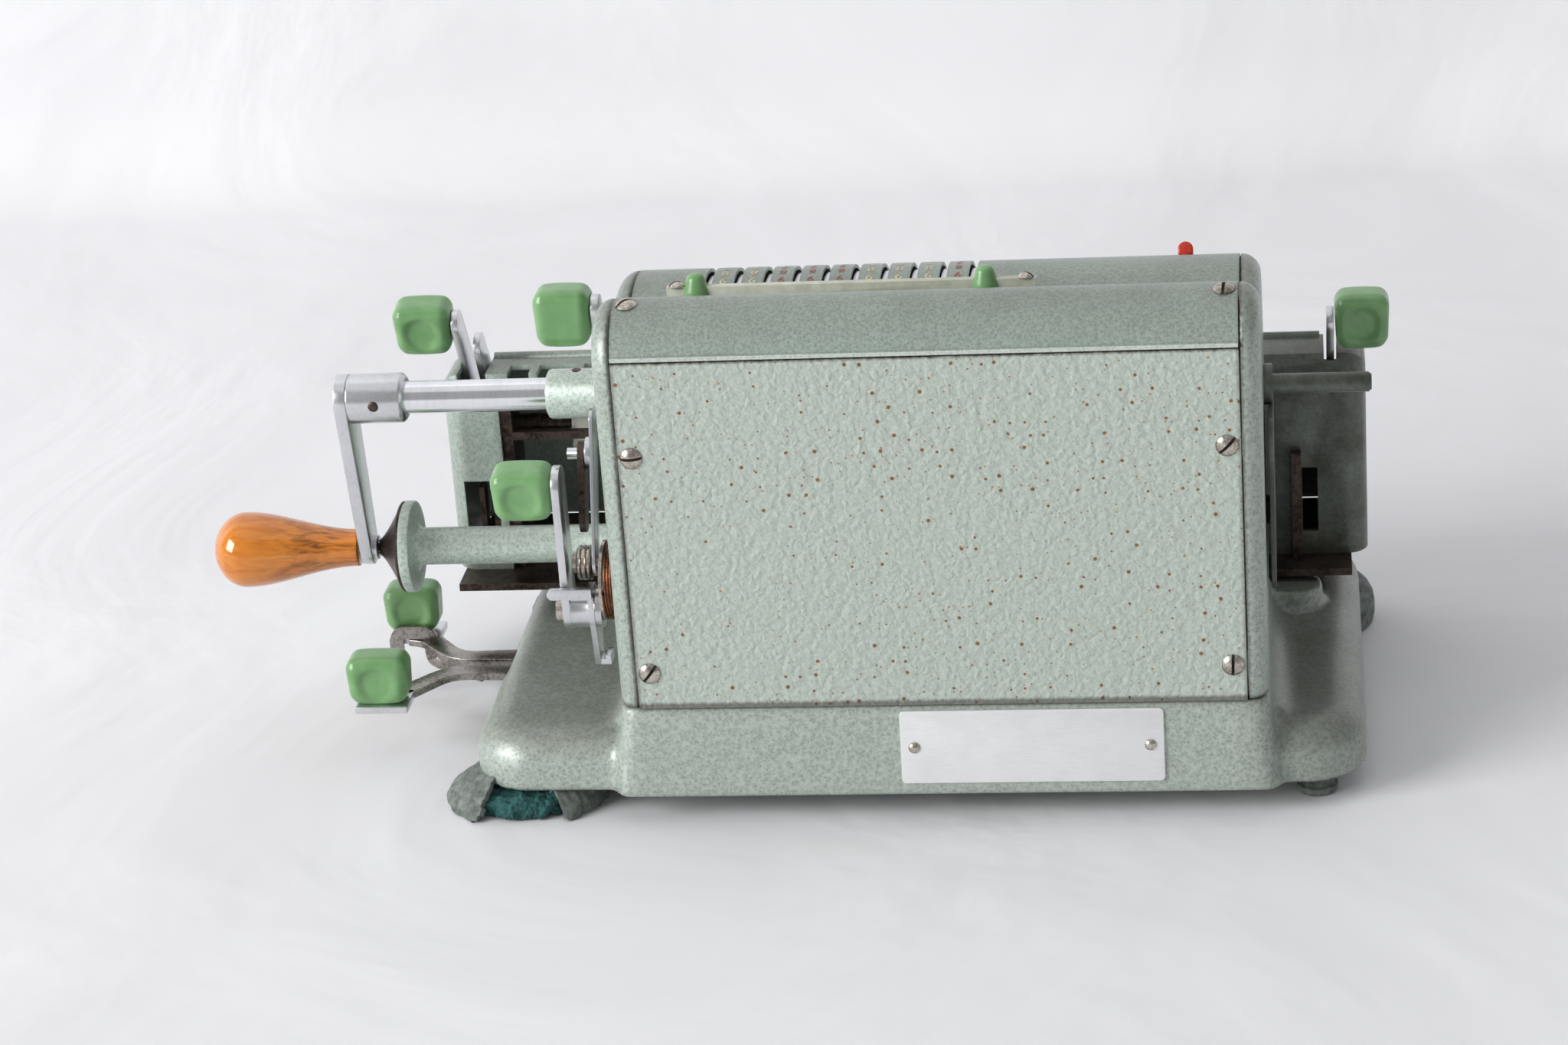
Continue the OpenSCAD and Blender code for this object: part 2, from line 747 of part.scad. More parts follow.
// Red reversing tab at the left end of the drum cover
module red_tab() {
    a = 120;
    color("#c2332b") around_x(axis_y, axis_z) union() {
        rotate([0, 0, a - 40]) rotate_extrude(angle = 90, $fn = 96)
            translate([ring_in_r, -tab_x - lever_t / 2]) square([ring_out_r - ring_in_r, lever_t]);
        rotate([0, 0, a]) translate([0, 0, -tab_x - lever_t / 2]) linear_extrude(lever_t)
            translate([ring_in_r + 1, -2]) square([drum_r + 2 - ring_in_r, 4]);
        rotate([0, 0, a]) translate([0, 0, -tab_x - 2.7]) linear_extrude(5.4) union() {
            translate([drum_r + 0.6, -1.5]) square([3.2, 3]);
            translate([drum_r + 3.8, 0]) circle(1.5, $fn = 32);
        }
    }
}

module crank_shaft() {
    color("#d5d7da") bar_x(-side_x + 3, arm_x, axis_y, axis_z, shaft_r);
}

// Flat arm with its round hub and cross pin
module crank_arm() {
    color(satin) difference() {
        union() {
            around_x(axis_y, axis_z) rotate_extrude($fn = 96) polygon([
                [0, hub_x + 0.2], [hub_r - 1.2, hub_x], [hub_r, hub_x + 1.2],
                [hub_r, arm_x + eps], [0, arm_x + eps]]);
            strip(arm_x, arm_t, axis_y, axis_z, handle_y, handle_z, hub_r, 6);
            bar_x(arm_x - 1.6, arm_x + eps, handle_y, handle_z, 4.4);
        }
        bar_x(hub_x - 1, arm_x, axis_y, axis_z, shaft_r + 0.02);
        bar_x(arm_x - 3, arm_x + arm_t + 1, handle_y, handle_z, 2.5 + fit);
    }
}

// Pinwheels: one toothed disc for each setting lever
module pinwheel_rotor() {
    color("#8d8577") for (i = [0 : lever_count - 1])
        translate([lever_first_x - i * lever_pitch - 3, 0, 0]) along_x(0, 6) difference() {
            translate([axis_y, axis_z]) union() {
                circle(rotor_r - 3, $fn = 96);
                for (k = [0 : 8]) rotate(100 + k * 14) translate([rotor_r - 5, -1]) square([5, 2]);
            }
            translate([axis_y, axis_z]) circle(shaft_r + 0.02, $fn = 64);
        }
}

// Sprung pin that carries the grip
module handle_spindle() {
    x0 = cone_tip_x + clear;
    color(satin) around_x(handle_y, handle_z) rotate_extrude($fn = 64) polygon([
        [0, x0], [1.4, x0], [2.5, x0 + 1.2],
        [2.5, arm_x + arm_t + grip_len * 0.75], [0, arm_x + arm_t + grip_len * 0.75]]);
}

// Pear profile: neck, swell and round end, t from 0 to 1
function grip_swell(t) = neck_r + (grip_r - neck_r) * (t < 0.32 ? 0 : sin(90 * (t - 0.32) / 0.46) ^ 1.6);
function grip_radius(t) = t < 0.78 ? grip_swell(t) : grip_r * sqrt(max(0, 1 - ((t - 0.78) / 0.22) ^ 2));

module handle_grip() {
    x0 = arm_x + arm_t + 1;
    steps = 40;
    color(amber) difference() {
        around_x(handle_y, handle_z) rotate_extrude($fn = 96) polygon(concat(
            [[0, x0]], [for (i = [0 : steps - 1]) [grip_radius(i / steps), x0 + grip_len * i / steps]],
            [[0, x0 + grip_len]]));
        bar_x(x0 - 1, arm_x + arm_t + grip_len * 0.75 + clear, handle_y, handle_z, 2.5 + fit);
    }
}

// Outline of the carriage casing in (Y, Z), inset by i
module casing_profile(i) {
    polygon([[car_rear - i, car_z - 1 - i], [car_rear - i, car_top - i], [ridge_y, car_top - i],
        [car_front + i, slope_z - i * 0.45], [car_front + i, car_z - 1 - i]]);
}

// Box with the four corners of its (X, Z) face and its (X, Y) face rounded, inset by i
module casing_ends(i, r) {
    x0 = car_left + i;
    x1 = car_right - i;
    z1 = car_top - i;
    y0 = car_front + i;
    y1 = car_rear - i;
    intersection() {
        translate([0, y1 + 1, 0]) rotate([90, 0, 0]) linear_extrude(y1 - y0 + 2) union() {
            translate([x0, 0]) square([x1 - x0, z1 - r]);
            translate([x0 + r, 0]) square([x1 - x0 - 2 * r, z1]);
            for (x = [x0 + r, x1 - r]) translate([x, z1 - r]) circle(r, $fn = 64);
        }
        linear_extrude(car_top + 10) union() {
            translate([x0, y0 + r]) square([x1 - x0, y1 - y0 - 2 * r]);
            translate([x0 + r, y0]) square([x1 - x0 - 2 * r, y1 - y0]);
            for (x = [x0 + r, x1 - r], y = [y0 + r, y1 - r]) translate([x, y]) circle(r, $fn = 64);
        }
    }
}

// Window on the sloping front for the wheel at x
module register_window(x) {
    translate([x, (ridge_y + car_front) / 2, (car_top + slope_z) / 2]) rotate([90 - slope_a, 0, 0])
        cube([5.6, 20, 9], center = true);
}

module carriage_casing() {
    r = 8;
    color(enamel) difference() {
        union() {
            intersection() {
                along_x(car_left, car_len) casing_profile(0);
                casing_ends(0, r);
            }
            // rounded rail along the ridge, between the clear levers
            bar_x(clear_lx + strip_t + 2.4, clear_rx - 1.4, ridge_y + 1.5, car_top + ridge_up, ridge_r);
        }
        intersection() {
            along_x(car_left + car_wall, car_len - 2 * car_wall) casing_profile(car_wall);
            casing_ends(car_wall, r - car_wall);
        }
        translate([car_left - 1, car_front - 1, car_z - 10]) cube([car_len + 2, car_depth + 2, 10]);
        // open back
        translate([open_x0, car_rear - 6, car_z - 1]) cube([open_x1 - open_x0, 8, car_h - 12]);
        // notches along the rear edge of the top
        for (x = [open_x1 - 12.5, for (k = [0 : 14]) open_x1 - 29 - k * 16.5])
            translate([x, car_rear - 9, car_top - 8]) cube([x > open_x1 - 15 ? 8 : 13.5, 12, 12]);
        // low cut-out in the right end
        translate([open_x1 + 3, car_rear - 6, car_z + 8]) cube([12.5, 8, 27]);
        // slot in the left end
        translate([car_left + 17.6, car_rear - 6, car_z + 9]) cube([5.6, 8, 24.5]);
        // slots for the clear levers
        for (x = [clear_rx - 1, clear_lx - 1]) {
            w = x > 0 ? 10.6 : strip_t + 2;
            translate([x, car_rear - 49, car_top - 36]) cube([w, 47, 44]);
            translate([x, car_rear - 3, car_top - 3]) cube([w, 4, 8]);
        }
        for (i = [0 : result_count - 1]) register_window(result_x - i * lever_pitch);
        for (i = [0 : counter_count - 1]) register_window(counter_x - i * lever_pitch);
    }
}

clear_rx = car_right - 16.5;
clear_lx = car_left + 11;

// Steel chassis of the carriage: bottom plate, cheeks, register shaft and guide shoes
module carriage_frame() {
    cheek_t = 2.4;
    in = car_wall + 0.4;
    color(dark_steel) union() {
        translate([car_left + 6, car_front + 3, plate_z])
            cube([car_len - 9, car_depth - 3 + 14, plate_t]);
        for (x = [open_x0 - 4, -1, open_x1 - 0.6]) along_x(x, cheek_t) polygon([
            [car_rear - in, plate_z], [car_rear - in, car_top - 13], [reg_y - 1.4, car_top - 13],
            [reg_y - 9, reg_z - 4], [reg_y - 9, plate_z]]);
        for (y = [reg_y - 9.6, reg_y + 5.3])
            translate([-110, y, deck_z + 2]) cube([260, 4.3, plate_z - deck_z - 2 + eps]);
        bar_x(car_left + 4, car_right - 4, reg_y, reg_z, reg_shaft_r);
        // upright strip at the left of the back, and a low angle at the right
        translate([car_left + 23.4, car_rear + 0.5, plate_z]) cube([3.4, 3.4, 43]);
        translate([open_x1 - 4, car_rear - in - 3, plate_z]) cube([4, 3, car_h - 11]);
        translate([open_x1 - 44, car_rear - in - 3, plate_z]) cube([3, 3, car_h - 24]);
        translate([open_x1 - 44, car_rear - in - 3, car_z + 50]) cube([44, 3, 3]);
        translate([open_x1 + 4, car_rear - in - 12, plate_z]) cube([2.4, 9, 36]);
        translate([open_x1 + 10, car_rear - in - 12, plate_z]) cube([2, 6, 32]);
    }
}

// Number wheels with a toothed rim at one side
module number_wheels(x0, n) {
    for (i = [0 : n - 1]) translate([x0 - i * lever_pitch - wheel_t / 2, 0, 0]) {
        along_x(0, 5.6) translate([reg_y, reg_z]) difference() {
            circle(wheel_r, $fn = 64);
            circle(reg_shaft_r + fit, $fn = 48);
        }
        along_x(5.6 - eps, wheel_t - 5.6) translate([reg_y, reg_z]) difference() {
            union() {
                circle(wheel_r - 3, $fn = 64);
                for (k = [0 : 9]) rotate(k * 36) translate([0, -1.1]) square([wheel_r - 0.4, 2.2]);
            }
            circle(reg_shaft_r + fit, $fn = 48);
        }
    }
}

module result_wheels() color("#e8e6df") number_wheels(result_x, result_count);
module counter_wheels() color("#e8e6df") number_wheels(counter_x, counter_count);

// Clear lever strip from the register shaft to its key
module clear_strip(x, a, len) {
    y1 = reg_y + len * cos(a);
    z1 = reg_z + len * sin(a);
    difference() {
        strip(x, strip_t, reg_y, reg_z, y1, z1, 7, 5);
        bar_x(x - 1, x + strip_t + 1, reg_y, reg_z, reg_shaft_r + fit);
    }
}

module clear_lever_right() {
    color(satin) {
        difference() {
            union() {
                clear_strip(clear_rx + 6, clear_a, clear_len + 1);
                clear_strip(clear_rx, clear_a, clear_len - 12);
                bar_x(clear_rx + strip_t - eps, clear_rx + 6 + eps, reg_y, reg_z, 6);
            }
            bar_x(clear_rx - 1, clear_rx + 12, reg_y, reg_z, reg_shaft_r + fit);
        }
    }
}

module clear_lever_left() {
    color(satin) clear_strip(clear_lx, clear_left_a, clear_left_len);
}

// Rounded cap with a dish in its front and rear face, its inner side at x, outward by s
module key_cap(x, y, z, s, tilt) {
    e = cap_edge_r;
    dish_r = 16;
    color(cap_green) translate([x + s * cap_w / 2, y, z]) rotate([tilt, 0, 0]) difference() {
        hull() for (a = [-1, 1], b = [-1, 1], c = [-1, 1])
            translate([a * (cap_w / 2 - e), b * (cap_d / 2 - e), c * (cap_h / 2 - e)])
                sphere(e, $fn = 20);
        for (b = [-1, 1]) translate([0, b * (cap_d / 2 + dish_r - 1.5), 0]) sphere(dish_r, $fn = 48);
    }
}

module clear_key_right() key_cap(clear_rx + 6 + strip_t + seat, reg_y + clear_len * cos(clear_a),
    reg_z + clear_len * sin(clear_a), 1, -10);
module clear_key_left() key_cap(clear_lx - seat, reg_y + clear_left_len * cos(clear_left_a),
    reg_z + clear_left_len * sin(clear_left_a), -1, 0);

zero_key_y = axis_y + 10;
zero_key_z = axis_z + 32.4;
zero_step = 4.6;

// Lever round the crank's bearing that sets all levers back to zero
module zero_lever() {
    x0 = side_x + clear;
    color(satin) difference() {
        union() {
            strip(x0, strip_t, axis_y, axis_z, axis_y + 6.5, axis_z + 22, 14, 5.5);
            translate([x0, axis_y + 1.6, axis_z + 20]) cube([zero_step + strip_t, 10.5, strip_t]);
            strip(x0 + zero_step, strip_t, axis_y + 6.8, axis_z + 24,
                zero_key_y, zero_key_z + 2, 5.2, 5);
        }
        bar_x(x0 - 1, x0 + strip_t + 1, axis_y, axis_z, boss_r + clear);
    }
}

module zero_key() key_cap(side_x + clear + zero_step + strip_t + seat, zero_key_y, zero_key_z, 1, 0);

// Spring drum on the right frame, with the studs of the side lever and of the link
module pivot_stud() {
    x_face = side_x + drum_len;
    color(nickel) difference() {
        union() {
            bar_x(side_x, x_face, drum_y, drum_z, spool_r);
            bar_x(x_face - eps, x_face + 1.1, drum_y, drum_z, spool_r + 2.2);
            bar_x(x_face, side_x + stud_len, side_y, side_z, stud_r);
            bar_x(plate_a_x + strip_t + 0.2, side_x + stud_len, side_y, side_z, 5.1);
            bar_x(x_face, link_x + leaf_t + 7, link_y, link_z, 2);
            bar_x(link_x + leaf_t + 5.7, link_x + leaf_t + 7, link_y, link_z, 3.6);
        }
        translate([side_x + stud_len - 1.2, side_y - 0.6, side_z - 8]) cube([3, 1.2, 16]);
    }
}

// Grooved roller on the link's stud
module roller() {
    x0 = link_x + leaf_t + 0.5;
    color(satin) around_x(link_y, link_z) rotate_extrude($fn = 64) polygon([
        [2 + fit, x0], [5.4, x0], [6, x0 + 0.5], [6, x0 + 1.2], [5.3, x0 + 1.6],
        [6, x0 + 2], [6, x0 + 3],
        [5.3, x0 + 3.4], [6, x0 + 3.8], [6, x0 + 4.4], [5.4, x0 + 4.9], [2 + fit, x0 + 4.9]]);
}

side_lever_dy = 1;
side_lever_dz = 44.1;

// Two plates on one bushing: the outer one bears the key, the inner one ends in a hook
module side_lever() {
    tab_z = side_z + 7.2;
    color(satin) difference() {
        union() {
            strip(plate_a_x, strip_t, side_y, side_z,
                side_y + side_lever_dy, side_z + side_lever_dz + 1.6, 7, 7);
            bar_x(hub_gap_x, plate_a_x + eps, side_y, side_z, 6.7);
            along_x(plate_b_x, 2) union() {
                translate([side_y, side_z]) circle(7.6, $fn = 48);
                polygon([[side_y - 7.4, side_z], [side_y - 4, side_z - 20], [side_y + 3, side_z - 20],
                    [side_y + 7.4, side_z], [side_y + 8, side_z + 10], [side_y + 1, side_z + 10]]);
            }
            // hook at the foot of the inner plate
            translate([plate_b_x - 3.6, side_y - 4, side_z - 20]) cube([5.6, 7, 2]);
            translate([plate_b_x - 3.6, side_y - 4, side_z - 20]) cube([1.8, 7, 3.4]);
            // tab of the inner plate, across the outer one
            translate([plate_b_x, side_y + 7.7, tab_z]) cube([13.5, 2.4, 3.8]);
            bar_y(side_y + 7.7, side_y + 10.1, plate_b_x + 13.5, tab_z + 1.9, 1.9);
            translate([plate_b_x, side_y + 4, tab_z]) cube([2, 4, 2.6]);
        }
        bar_x(hub_gap_x - 1, plate_a_x + strip_t + 2, side_y, side_z, stud_r + fit);
    }
}

module side_key() key_cap(plate_a_x + strip_t + seat, side_y + side_lever_dy,
    side_z + side_lever_dz, 1, -6);

link_top_y = link_y - 18;
link_top_z = link_z + 44.6;
link_x = side_x + 7.7;
leaf_t = 1.1;

// Upright leaf beside the frame, with a round-headed stud near its top
module side_link() {
    color(satin) difference() {
        union() {
            strip(link_x, leaf_t, link_y, link_z, link_top_y, link_top_z, 4.6, 5.4);
            bar_x(link_x + leaf_t - eps, link_x + leaf_t + 1.8, link_top_y + 4, link_top_z - 10, 5.6);
            bar_x(link_x + leaf_t, link_x + 9.5, link_top_y + 4, link_top_z - 10, 2);
        }
        bar_x(link_x - 1, link_x + leaf_t + 1, link_y, link_z, 2 + fit);
    }
}

module pawl_strip() {
    color(dark_steel) difference() {
        strip(link_x + 3.4, 2.2, link_top_y + 4, link_top_z - 10,
            link_top_y + 12, link_top_z - 32, 4.4, 3.6);
        bar_x(link_x + 3, link_x + 10, link_top_y + 4, link_top_z - 10, 2 + fit);
    }
}

// Wound spring as one tube: n turns of radius r along X from x0, wire diameter d
function coil_point(x0, n, r, pitch, i, steps) =
    let (a = 360 * n * i / steps) [x0 + pitch * a / 360, r * cos(a), r * sin(a)];

module coil(x0, y, z, n, r, pitch, d) {
    rings = 8 * n;
    sides = 6;
    pts = [for (i = [0 : rings]) let (p = coil_point(x0, n, r, pitch, i, rings), a = 360 * n * i / rings)
        for (k = [0 : sides - 1]) let (b = 360 * k / sides)
            [p[0] + d / 2 * sin(b), p[1] + d / 2 * cos(b) * cos(a), p[2] + d / 2 * cos(b) * sin(a)]];
    side_faces = [for (i = [0 : rings - 1], k = [0 : sides - 1]) let (m = (k + 1) % sides)
        each [[i * sides + k, i * sides + m, (i + 1) * sides + m],
            [i * sides + k, (i + 1) * sides + m, (i + 1) * sides + k]]];
    caps = [for (k = [1 : sides - 2])
        each [[0, k + 1, k], [rings * sides, rings * sides + k, rings * sides + k + 1]]];
    translate([0, y, z]) polyhedron(pts, concat(side_faces, caps));
    echo(least_gap = pitch - d);
}

module return_spring() {
    r = (spool_r + spring_wire / 2 + 0.15) / cos(22.5);
    color("#8a5a3c")
        coil(side_x + 0.5, drum_y, drum_z, spring_turns, r, spring_wire + 0.45, spring_wire);
}

step_cap_z = step_z + strip_t / 2 + cap_h / 2;
step_key_x = base_right + 39;

// Arm of a step key in plan: from the pivot, out of the base and round to the pad, s towards the rear
module step_arm_2d(s) {
    union() {
        translate([step_x, 0]) circle(5, $fn = 32);
        translate([step_x, -4.5]) square([base_right + 18 - step_x, 9]);
        translate([base_right + 18, 0]) circle(4.5, $fn = 32);
        translate([base_right + 18, 0]) rotate(s * 46) translate([0, -4.5]) square([22, 9]);
        translate([step_key_x, s * 24]) square([19, 15], center = true);
    }
}

module step_lever(s) {
    color(satin) translate([0, step_y + s * 6.5, step_z - strip_t / 2]) difference() {
        union() {
            linear_extrude(strip_t) step_arm_2d(s);
            translate([step_x, -4.5, strip_t / 2]) rotate([-90, 0, 0])
                cylinder(h = 9, r = 2.7, $fn = 48);
        }
        translate([step_x, -7, strip_t / 2]) rotate([-90, 0, 0])
            cylinder(h = 16, r = step_pin_r + fit, $fn = 48);
    }
}

module step_lever_rear() step_lever(1);
module step_lever_front() step_lever(-1);
module step_key_rear() key_cap(step_key_x - cap_w / 2, step_y + 30.5, step_cap_z + seat, 1, 0);
module step_key_front() key_cap(step_key_x - cap_w / 2, step_y - 30.5, step_cap_z + seat, 1, 0);

base();
side_frame_right();
side_frame_left();
rear_panel();
rear_cover();
drum_cover();
front_plate();
fasteners();
nameplate();
foot_rear_right();
foot_rear_left();
foot_front_right();
foot_front_left();
crank_bearing();
rest_post();
rest_cone();
left_rod();
left_bearing_plate();
decimal_bar();
carriage_rail();
lever_drum();
pivot_stud();
return_spring();
crank_shaft();
crank_arm();
pinwheel_rotor();
handle_spindle();
handle_grip();
setting_lever_1();
setting_lever_2();
setting_lever_3();
setting_lever_4();
setting_lever_5();
setting_lever_6();
setting_lever_7();
setting_lever_8();
setting_lever_9();
setting_lever_10();
decimal_slider_right();
decimal_slider_left();
carriage_casing();
carriage_frame();
result_wheels();
counter_wheels();
clear_lever_right();
clear_key_right();
clear_lever_left();
clear_key_left();
zero_lever();
zero_key();
side_lever();
side_key();
side_link();
roller();
pawl_strip();
step_lever_rear();
step_key_rear();
step_lever_front();
step_key_front();
red_tab();
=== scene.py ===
# %% [markdown]
# A hand-cranked pinwheel calculator of the nineteen-fifties, seen from behind.
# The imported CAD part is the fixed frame. This script gives it its finishes and
# rebuilds the pieces whose soft or turned shapes show most: key caps, handle,
# shaft, post, screws, levers and rubber feet. Helper numbers are millimetres.

# %% Frame and helpers
import json
import math

import bmesh
import bpy
from mathutils import Matrix, Vector, noise


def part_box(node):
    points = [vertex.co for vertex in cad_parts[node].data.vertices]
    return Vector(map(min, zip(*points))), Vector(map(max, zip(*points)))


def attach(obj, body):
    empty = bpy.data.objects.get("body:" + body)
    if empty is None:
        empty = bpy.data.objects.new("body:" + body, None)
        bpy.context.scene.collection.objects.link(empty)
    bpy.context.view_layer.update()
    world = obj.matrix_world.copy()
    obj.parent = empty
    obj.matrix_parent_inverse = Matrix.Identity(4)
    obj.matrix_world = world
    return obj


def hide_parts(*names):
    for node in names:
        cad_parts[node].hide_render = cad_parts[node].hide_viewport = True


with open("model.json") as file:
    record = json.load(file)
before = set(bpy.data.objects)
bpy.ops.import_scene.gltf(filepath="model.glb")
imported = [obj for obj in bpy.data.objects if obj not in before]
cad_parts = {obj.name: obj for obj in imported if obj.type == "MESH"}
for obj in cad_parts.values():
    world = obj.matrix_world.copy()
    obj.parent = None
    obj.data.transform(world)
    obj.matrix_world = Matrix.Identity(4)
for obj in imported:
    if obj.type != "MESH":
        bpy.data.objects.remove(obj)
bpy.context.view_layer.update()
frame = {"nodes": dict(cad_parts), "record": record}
NODES = frame["nodes"]
BODIES = frame["record"]["behaviour"]["bodies"]
MM = 0.001


def rgb(code):
    """A hex sRGB colour as linear RGBA."""
    parts = [int(code[i : i + 2], 16) / 255 for i in (1, 3, 5)]
    return tuple(c / 12.92 if c <= 0.04045 else ((c + 0.055) / 1.055) ** 2.4 for c in parts) + (1.0,)


def feed(tree, node, values):
    """Gives a node's inputs their values, or links to other nodes' outputs."""
    for key, value in dict(values).items():
        if isinstance(value, bpy.types.NodeSocket):
            tree.links.new(value, node.inputs[key])
        else:
            node.inputs[key].default_value = value


def add(tree, kind, values=(), **settings):
    """Adds a node, with its settings and with a value or a link for each input."""
    made = tree.nodes.new("ShaderNode" + kind)
    for key, value in settings.items():
        setattr(made, key, value)
    feed(tree, made, values)
    return made


def new_material(name, **values):
    """A material with its tree, its shader and object coordinates in millimetres."""
    made = bpy.data.materials.new(name)
    made.use_nodes = True
    tree = made.node_tree
    shader = tree.nodes["Principled BSDF"]
    feed(tree, shader, {key.replace("_", " "): value for key, value in values.items()})
    place = add(tree, "TexCoord")
    scaled = add(tree, "VectorMath", {0: place.outputs["Object"], "Scale": 1000}, operation="SCALE")
    return made, tree, shader, scaled.outputs["Vector"]


def ramp(tree, factor, *stops):
    """A colour ramp over factor, with (position, hex colour) stops."""
    made = add(tree, "ValToRGB", {"Fac": factor})
    while len(made.color_ramp.elements) < len(stops):
        made.color_ramp.elements.new(0.5)
    for element, (position, code) in zip(made.color_ramp.elements, stops):
        element.position = position
        element.color = rgb(code)
    return made.outputs["Color"]


def coat(tree, shader, color, height, strength, depth):
    """Gives the shader a colour, and a relief whose depth is in m."""
    bump = add(tree, "Bump", {"Height": height, "Strength": strength, "Distance": depth})
    feed(tree, shader, {"Base Color": color, "Normal": bump.outputs["Normal"]})


# numbered inputs of the colour mix node: its colour sockets share their names with its other ones
MIX_A, MIX_B, MIX_OUT = 6, 7, 2
print("frame", len(NODES), "nodes")

# %% [markdown]
# The castings wear hammer-finish enamel: a silicone paint with fine aluminium
# flakes that pulls itself into small cells as it dries. A cell pattern and a
# flake noise make it together, because one pattern alone looks like leather. Real
# cells are about 1 mm wide; they are drawn at 1.1 to 1.5 mm so that they show.
# Faces that point up are darkened by the upward normal: partly dust and partly
# painted shade, as tops take less light than walls. A ramp along X lays painted
# shade, with some soot, on the end away from the crank, which stands in shadow.

# %% Enamels


def patchy(tree, place, scale, low, factor):
    """The factor, thinned out to low of itself by coarse clouds."""
    cloud = add(tree, "TexNoise", {"Vector": place, "Scale": scale, "Detail": 5.0, "Roughness": 0.6})
    values = {"Value": cloud.outputs["Fac"], "From Min": 0.35, "From Max": 0.6, "To Min": low}
    spread = add(tree, "MapRange", values)
    return add(tree, "Math", {0: factor, 1: spread.outputs[0]}, operation="MULTIPLY").outputs[0]


def hammered(name, dark, light, cell, depth, dust_and_top_shade=0.0, metal=0.3, rough=0.4):
    """Flaked enamel: cell is the width of its cells in mm, depth their relief in m."""
    made, tree, shader, place = new_material(
        name, Metallic=metal, Roughness=rough, Coat_Weight=0.2, Coat_Roughness=0.25
    )
    flakes = add(tree, "TexNoise", {"Vector": place, "Scale": 1.5, "Detail": 3.0, "Roughness": 0.7})
    cells = add(
        tree, "TexVoronoi", {"Vector": place, "Scale": 1 / cell, "Smoothness": 0.7}, feature="SMOOTH_F1"
    )
    height = add(
        tree, "Math", {0: cells.outputs["Distance"], 1: 0.45, 2: flakes.outputs["Fac"]},
        operation="MULTIPLY_ADD",
    )
    color = ramp(tree, height.outputs[0], (0.48, dark), (0.86, light))
    # dust and painted shade: faces that point up are mixed towards a dark olive
    if dust_and_top_shade:
        facing = add(tree, "NewGeometry")
        parts = add(tree, "SeparateXYZ", {0: facing.outputs["Normal"]})
        upward = add(
            tree, "MapRange",
            {"Value": parts.outputs["Z"], "From Min": 0.2, "From Max": 0.95, "To Max": dust_and_top_shade},
        )
        share = patchy(tree, place, 0.03, 0.65, upward.outputs[0])
        dusted_and_top_shaded = add(tree, "Mix", {0: share, MIX_A: color, MIX_B: rgb("#4f4a3e")}, data_type="RGBA")
        color = dusted_and_top_shaded.outputs[MIX_OUT]
    coat(tree, shader, color, height.outputs[0], 0.6, depth)
    return made, tree, shader, place, color


def end_grime(made, tree, shader, place, color, share):
    """Painted shade, with some soot, on the shaded end of the machine, from x = -98 mm outwards."""
    parts = add(tree, "SeparateXYZ", {0: place})
    outward = add(
        tree, "MapRange",
        {"Value": parts.outputs["X"], "From Min": -98.0, "From Max": -112.0, "To Max": share},
    )
    factor = patchy(tree, place, 0.05, 0.7, outward.outputs[0])
    # painted shade with some soot: darker towards the end away from the crank
    shaded_end = add(tree, "Mix", {0: factor, MIX_A: color, MIX_B: rgb("#343023")}, data_type="RGBA")
    feed(tree, shader, {"Base Color": shaded_end.outputs[MIX_OUT]})
    return made


cast = end_grime(
    *hammered("hammer_finish_enamel_on_cast_iron", "#8e988f", "#b8c2b8", 1.5, 0.00018, 0.5), 0.35
)
post_paint = end_grime(
    *hammered("hammer_finish_enamel_on_steel_rod", "#a4b2a7", "#d0dcd3", 1.3, 0.00014, 0.3), 0.6
)
carriage_paint = end_grime(
    *hammered("hammer_finish_enamel_on_pressed_sheet", "#8b978e", "#abb8ae", 1.5, 0.0001, 0.5), 0.86
)
print("materials", cast.name, post_paint.name, carriage_paint.name)

# %% [markdown]
# Seams of an old machine hold oil and rust. Each seam is a plane at a known
# place, so the distance to it, roughened by a noise, mixes in a dark brown. On the
# panel just below the rear cover's lip that dark band is dirt and painted shadow.

# %% Seam dirt and painted shade


def seam_dirt(tree, shader, place, color, seams, code="#3a2b20"):
    """Darkens color near planes: seams are (axis, both sides, from, to, most) in mm."""
    parts = add(tree, "SeparateXYZ", {0: place})
    rough = add(tree, "TexNoise", {"Vector": place, "Scale": 0.5, "Detail": 4.0})
    shift = add(tree, "Math", {0: rough.outputs["Fac"], 1: 1.6}, operation="MULTIPLY")
    for axis, both_sides, start, end, most in seams:
        along = parts.outputs[axis]
        if both_sides:
            along = add(tree, "Math", {0: along}, operation="ABSOLUTE").outputs[0]
        moved = add(
            tree, "Math", {0: along, 1: shift.outputs[0]}, operation="ADD" if end > start else "SUBTRACT"
        )
        near = add(
            tree, "MapRange",
            {"Value": moved.outputs[0], "From Min": start, "From Max": end, "To Max": most},
        )
        made = add(tree, "Mix", {0: near.outputs[0], MIX_A: color, MIX_B: rgb(code)}, data_type="RGBA")
        color = made.outputs[MIX_OUT]
    feed(tree, shader, {"Base Color": color})


FRAME_X, SIDE_X, SEAM_Z, BLOCK_Z = 102.5, 109.5, 167.3, 42.6
frames, tree, shader, place, paint = hammered(
    "hammer_finish_enamel_on_side_frames", "#88928a", "#b0bbb1", 1.5, 0.00018, 0.55
)
seam_dirt(tree, shader, place, paint, (("X", True, 103.4, 102.6, 0.6), ("Z", False, 44.0, 42.8, 0.5)))
smooth, tree, shader, place, paint = hammered(
    "fine_hammer_enamel_on_rolled_sheet", "#88968c", "#abb9ae", 1.1, 0.00014, 0.45
)
seam_dirt(tree, shader, place, paint, (("X", True, 102.4, 103.4, 0.35),))
print("materials", frames.name, smooth.name)

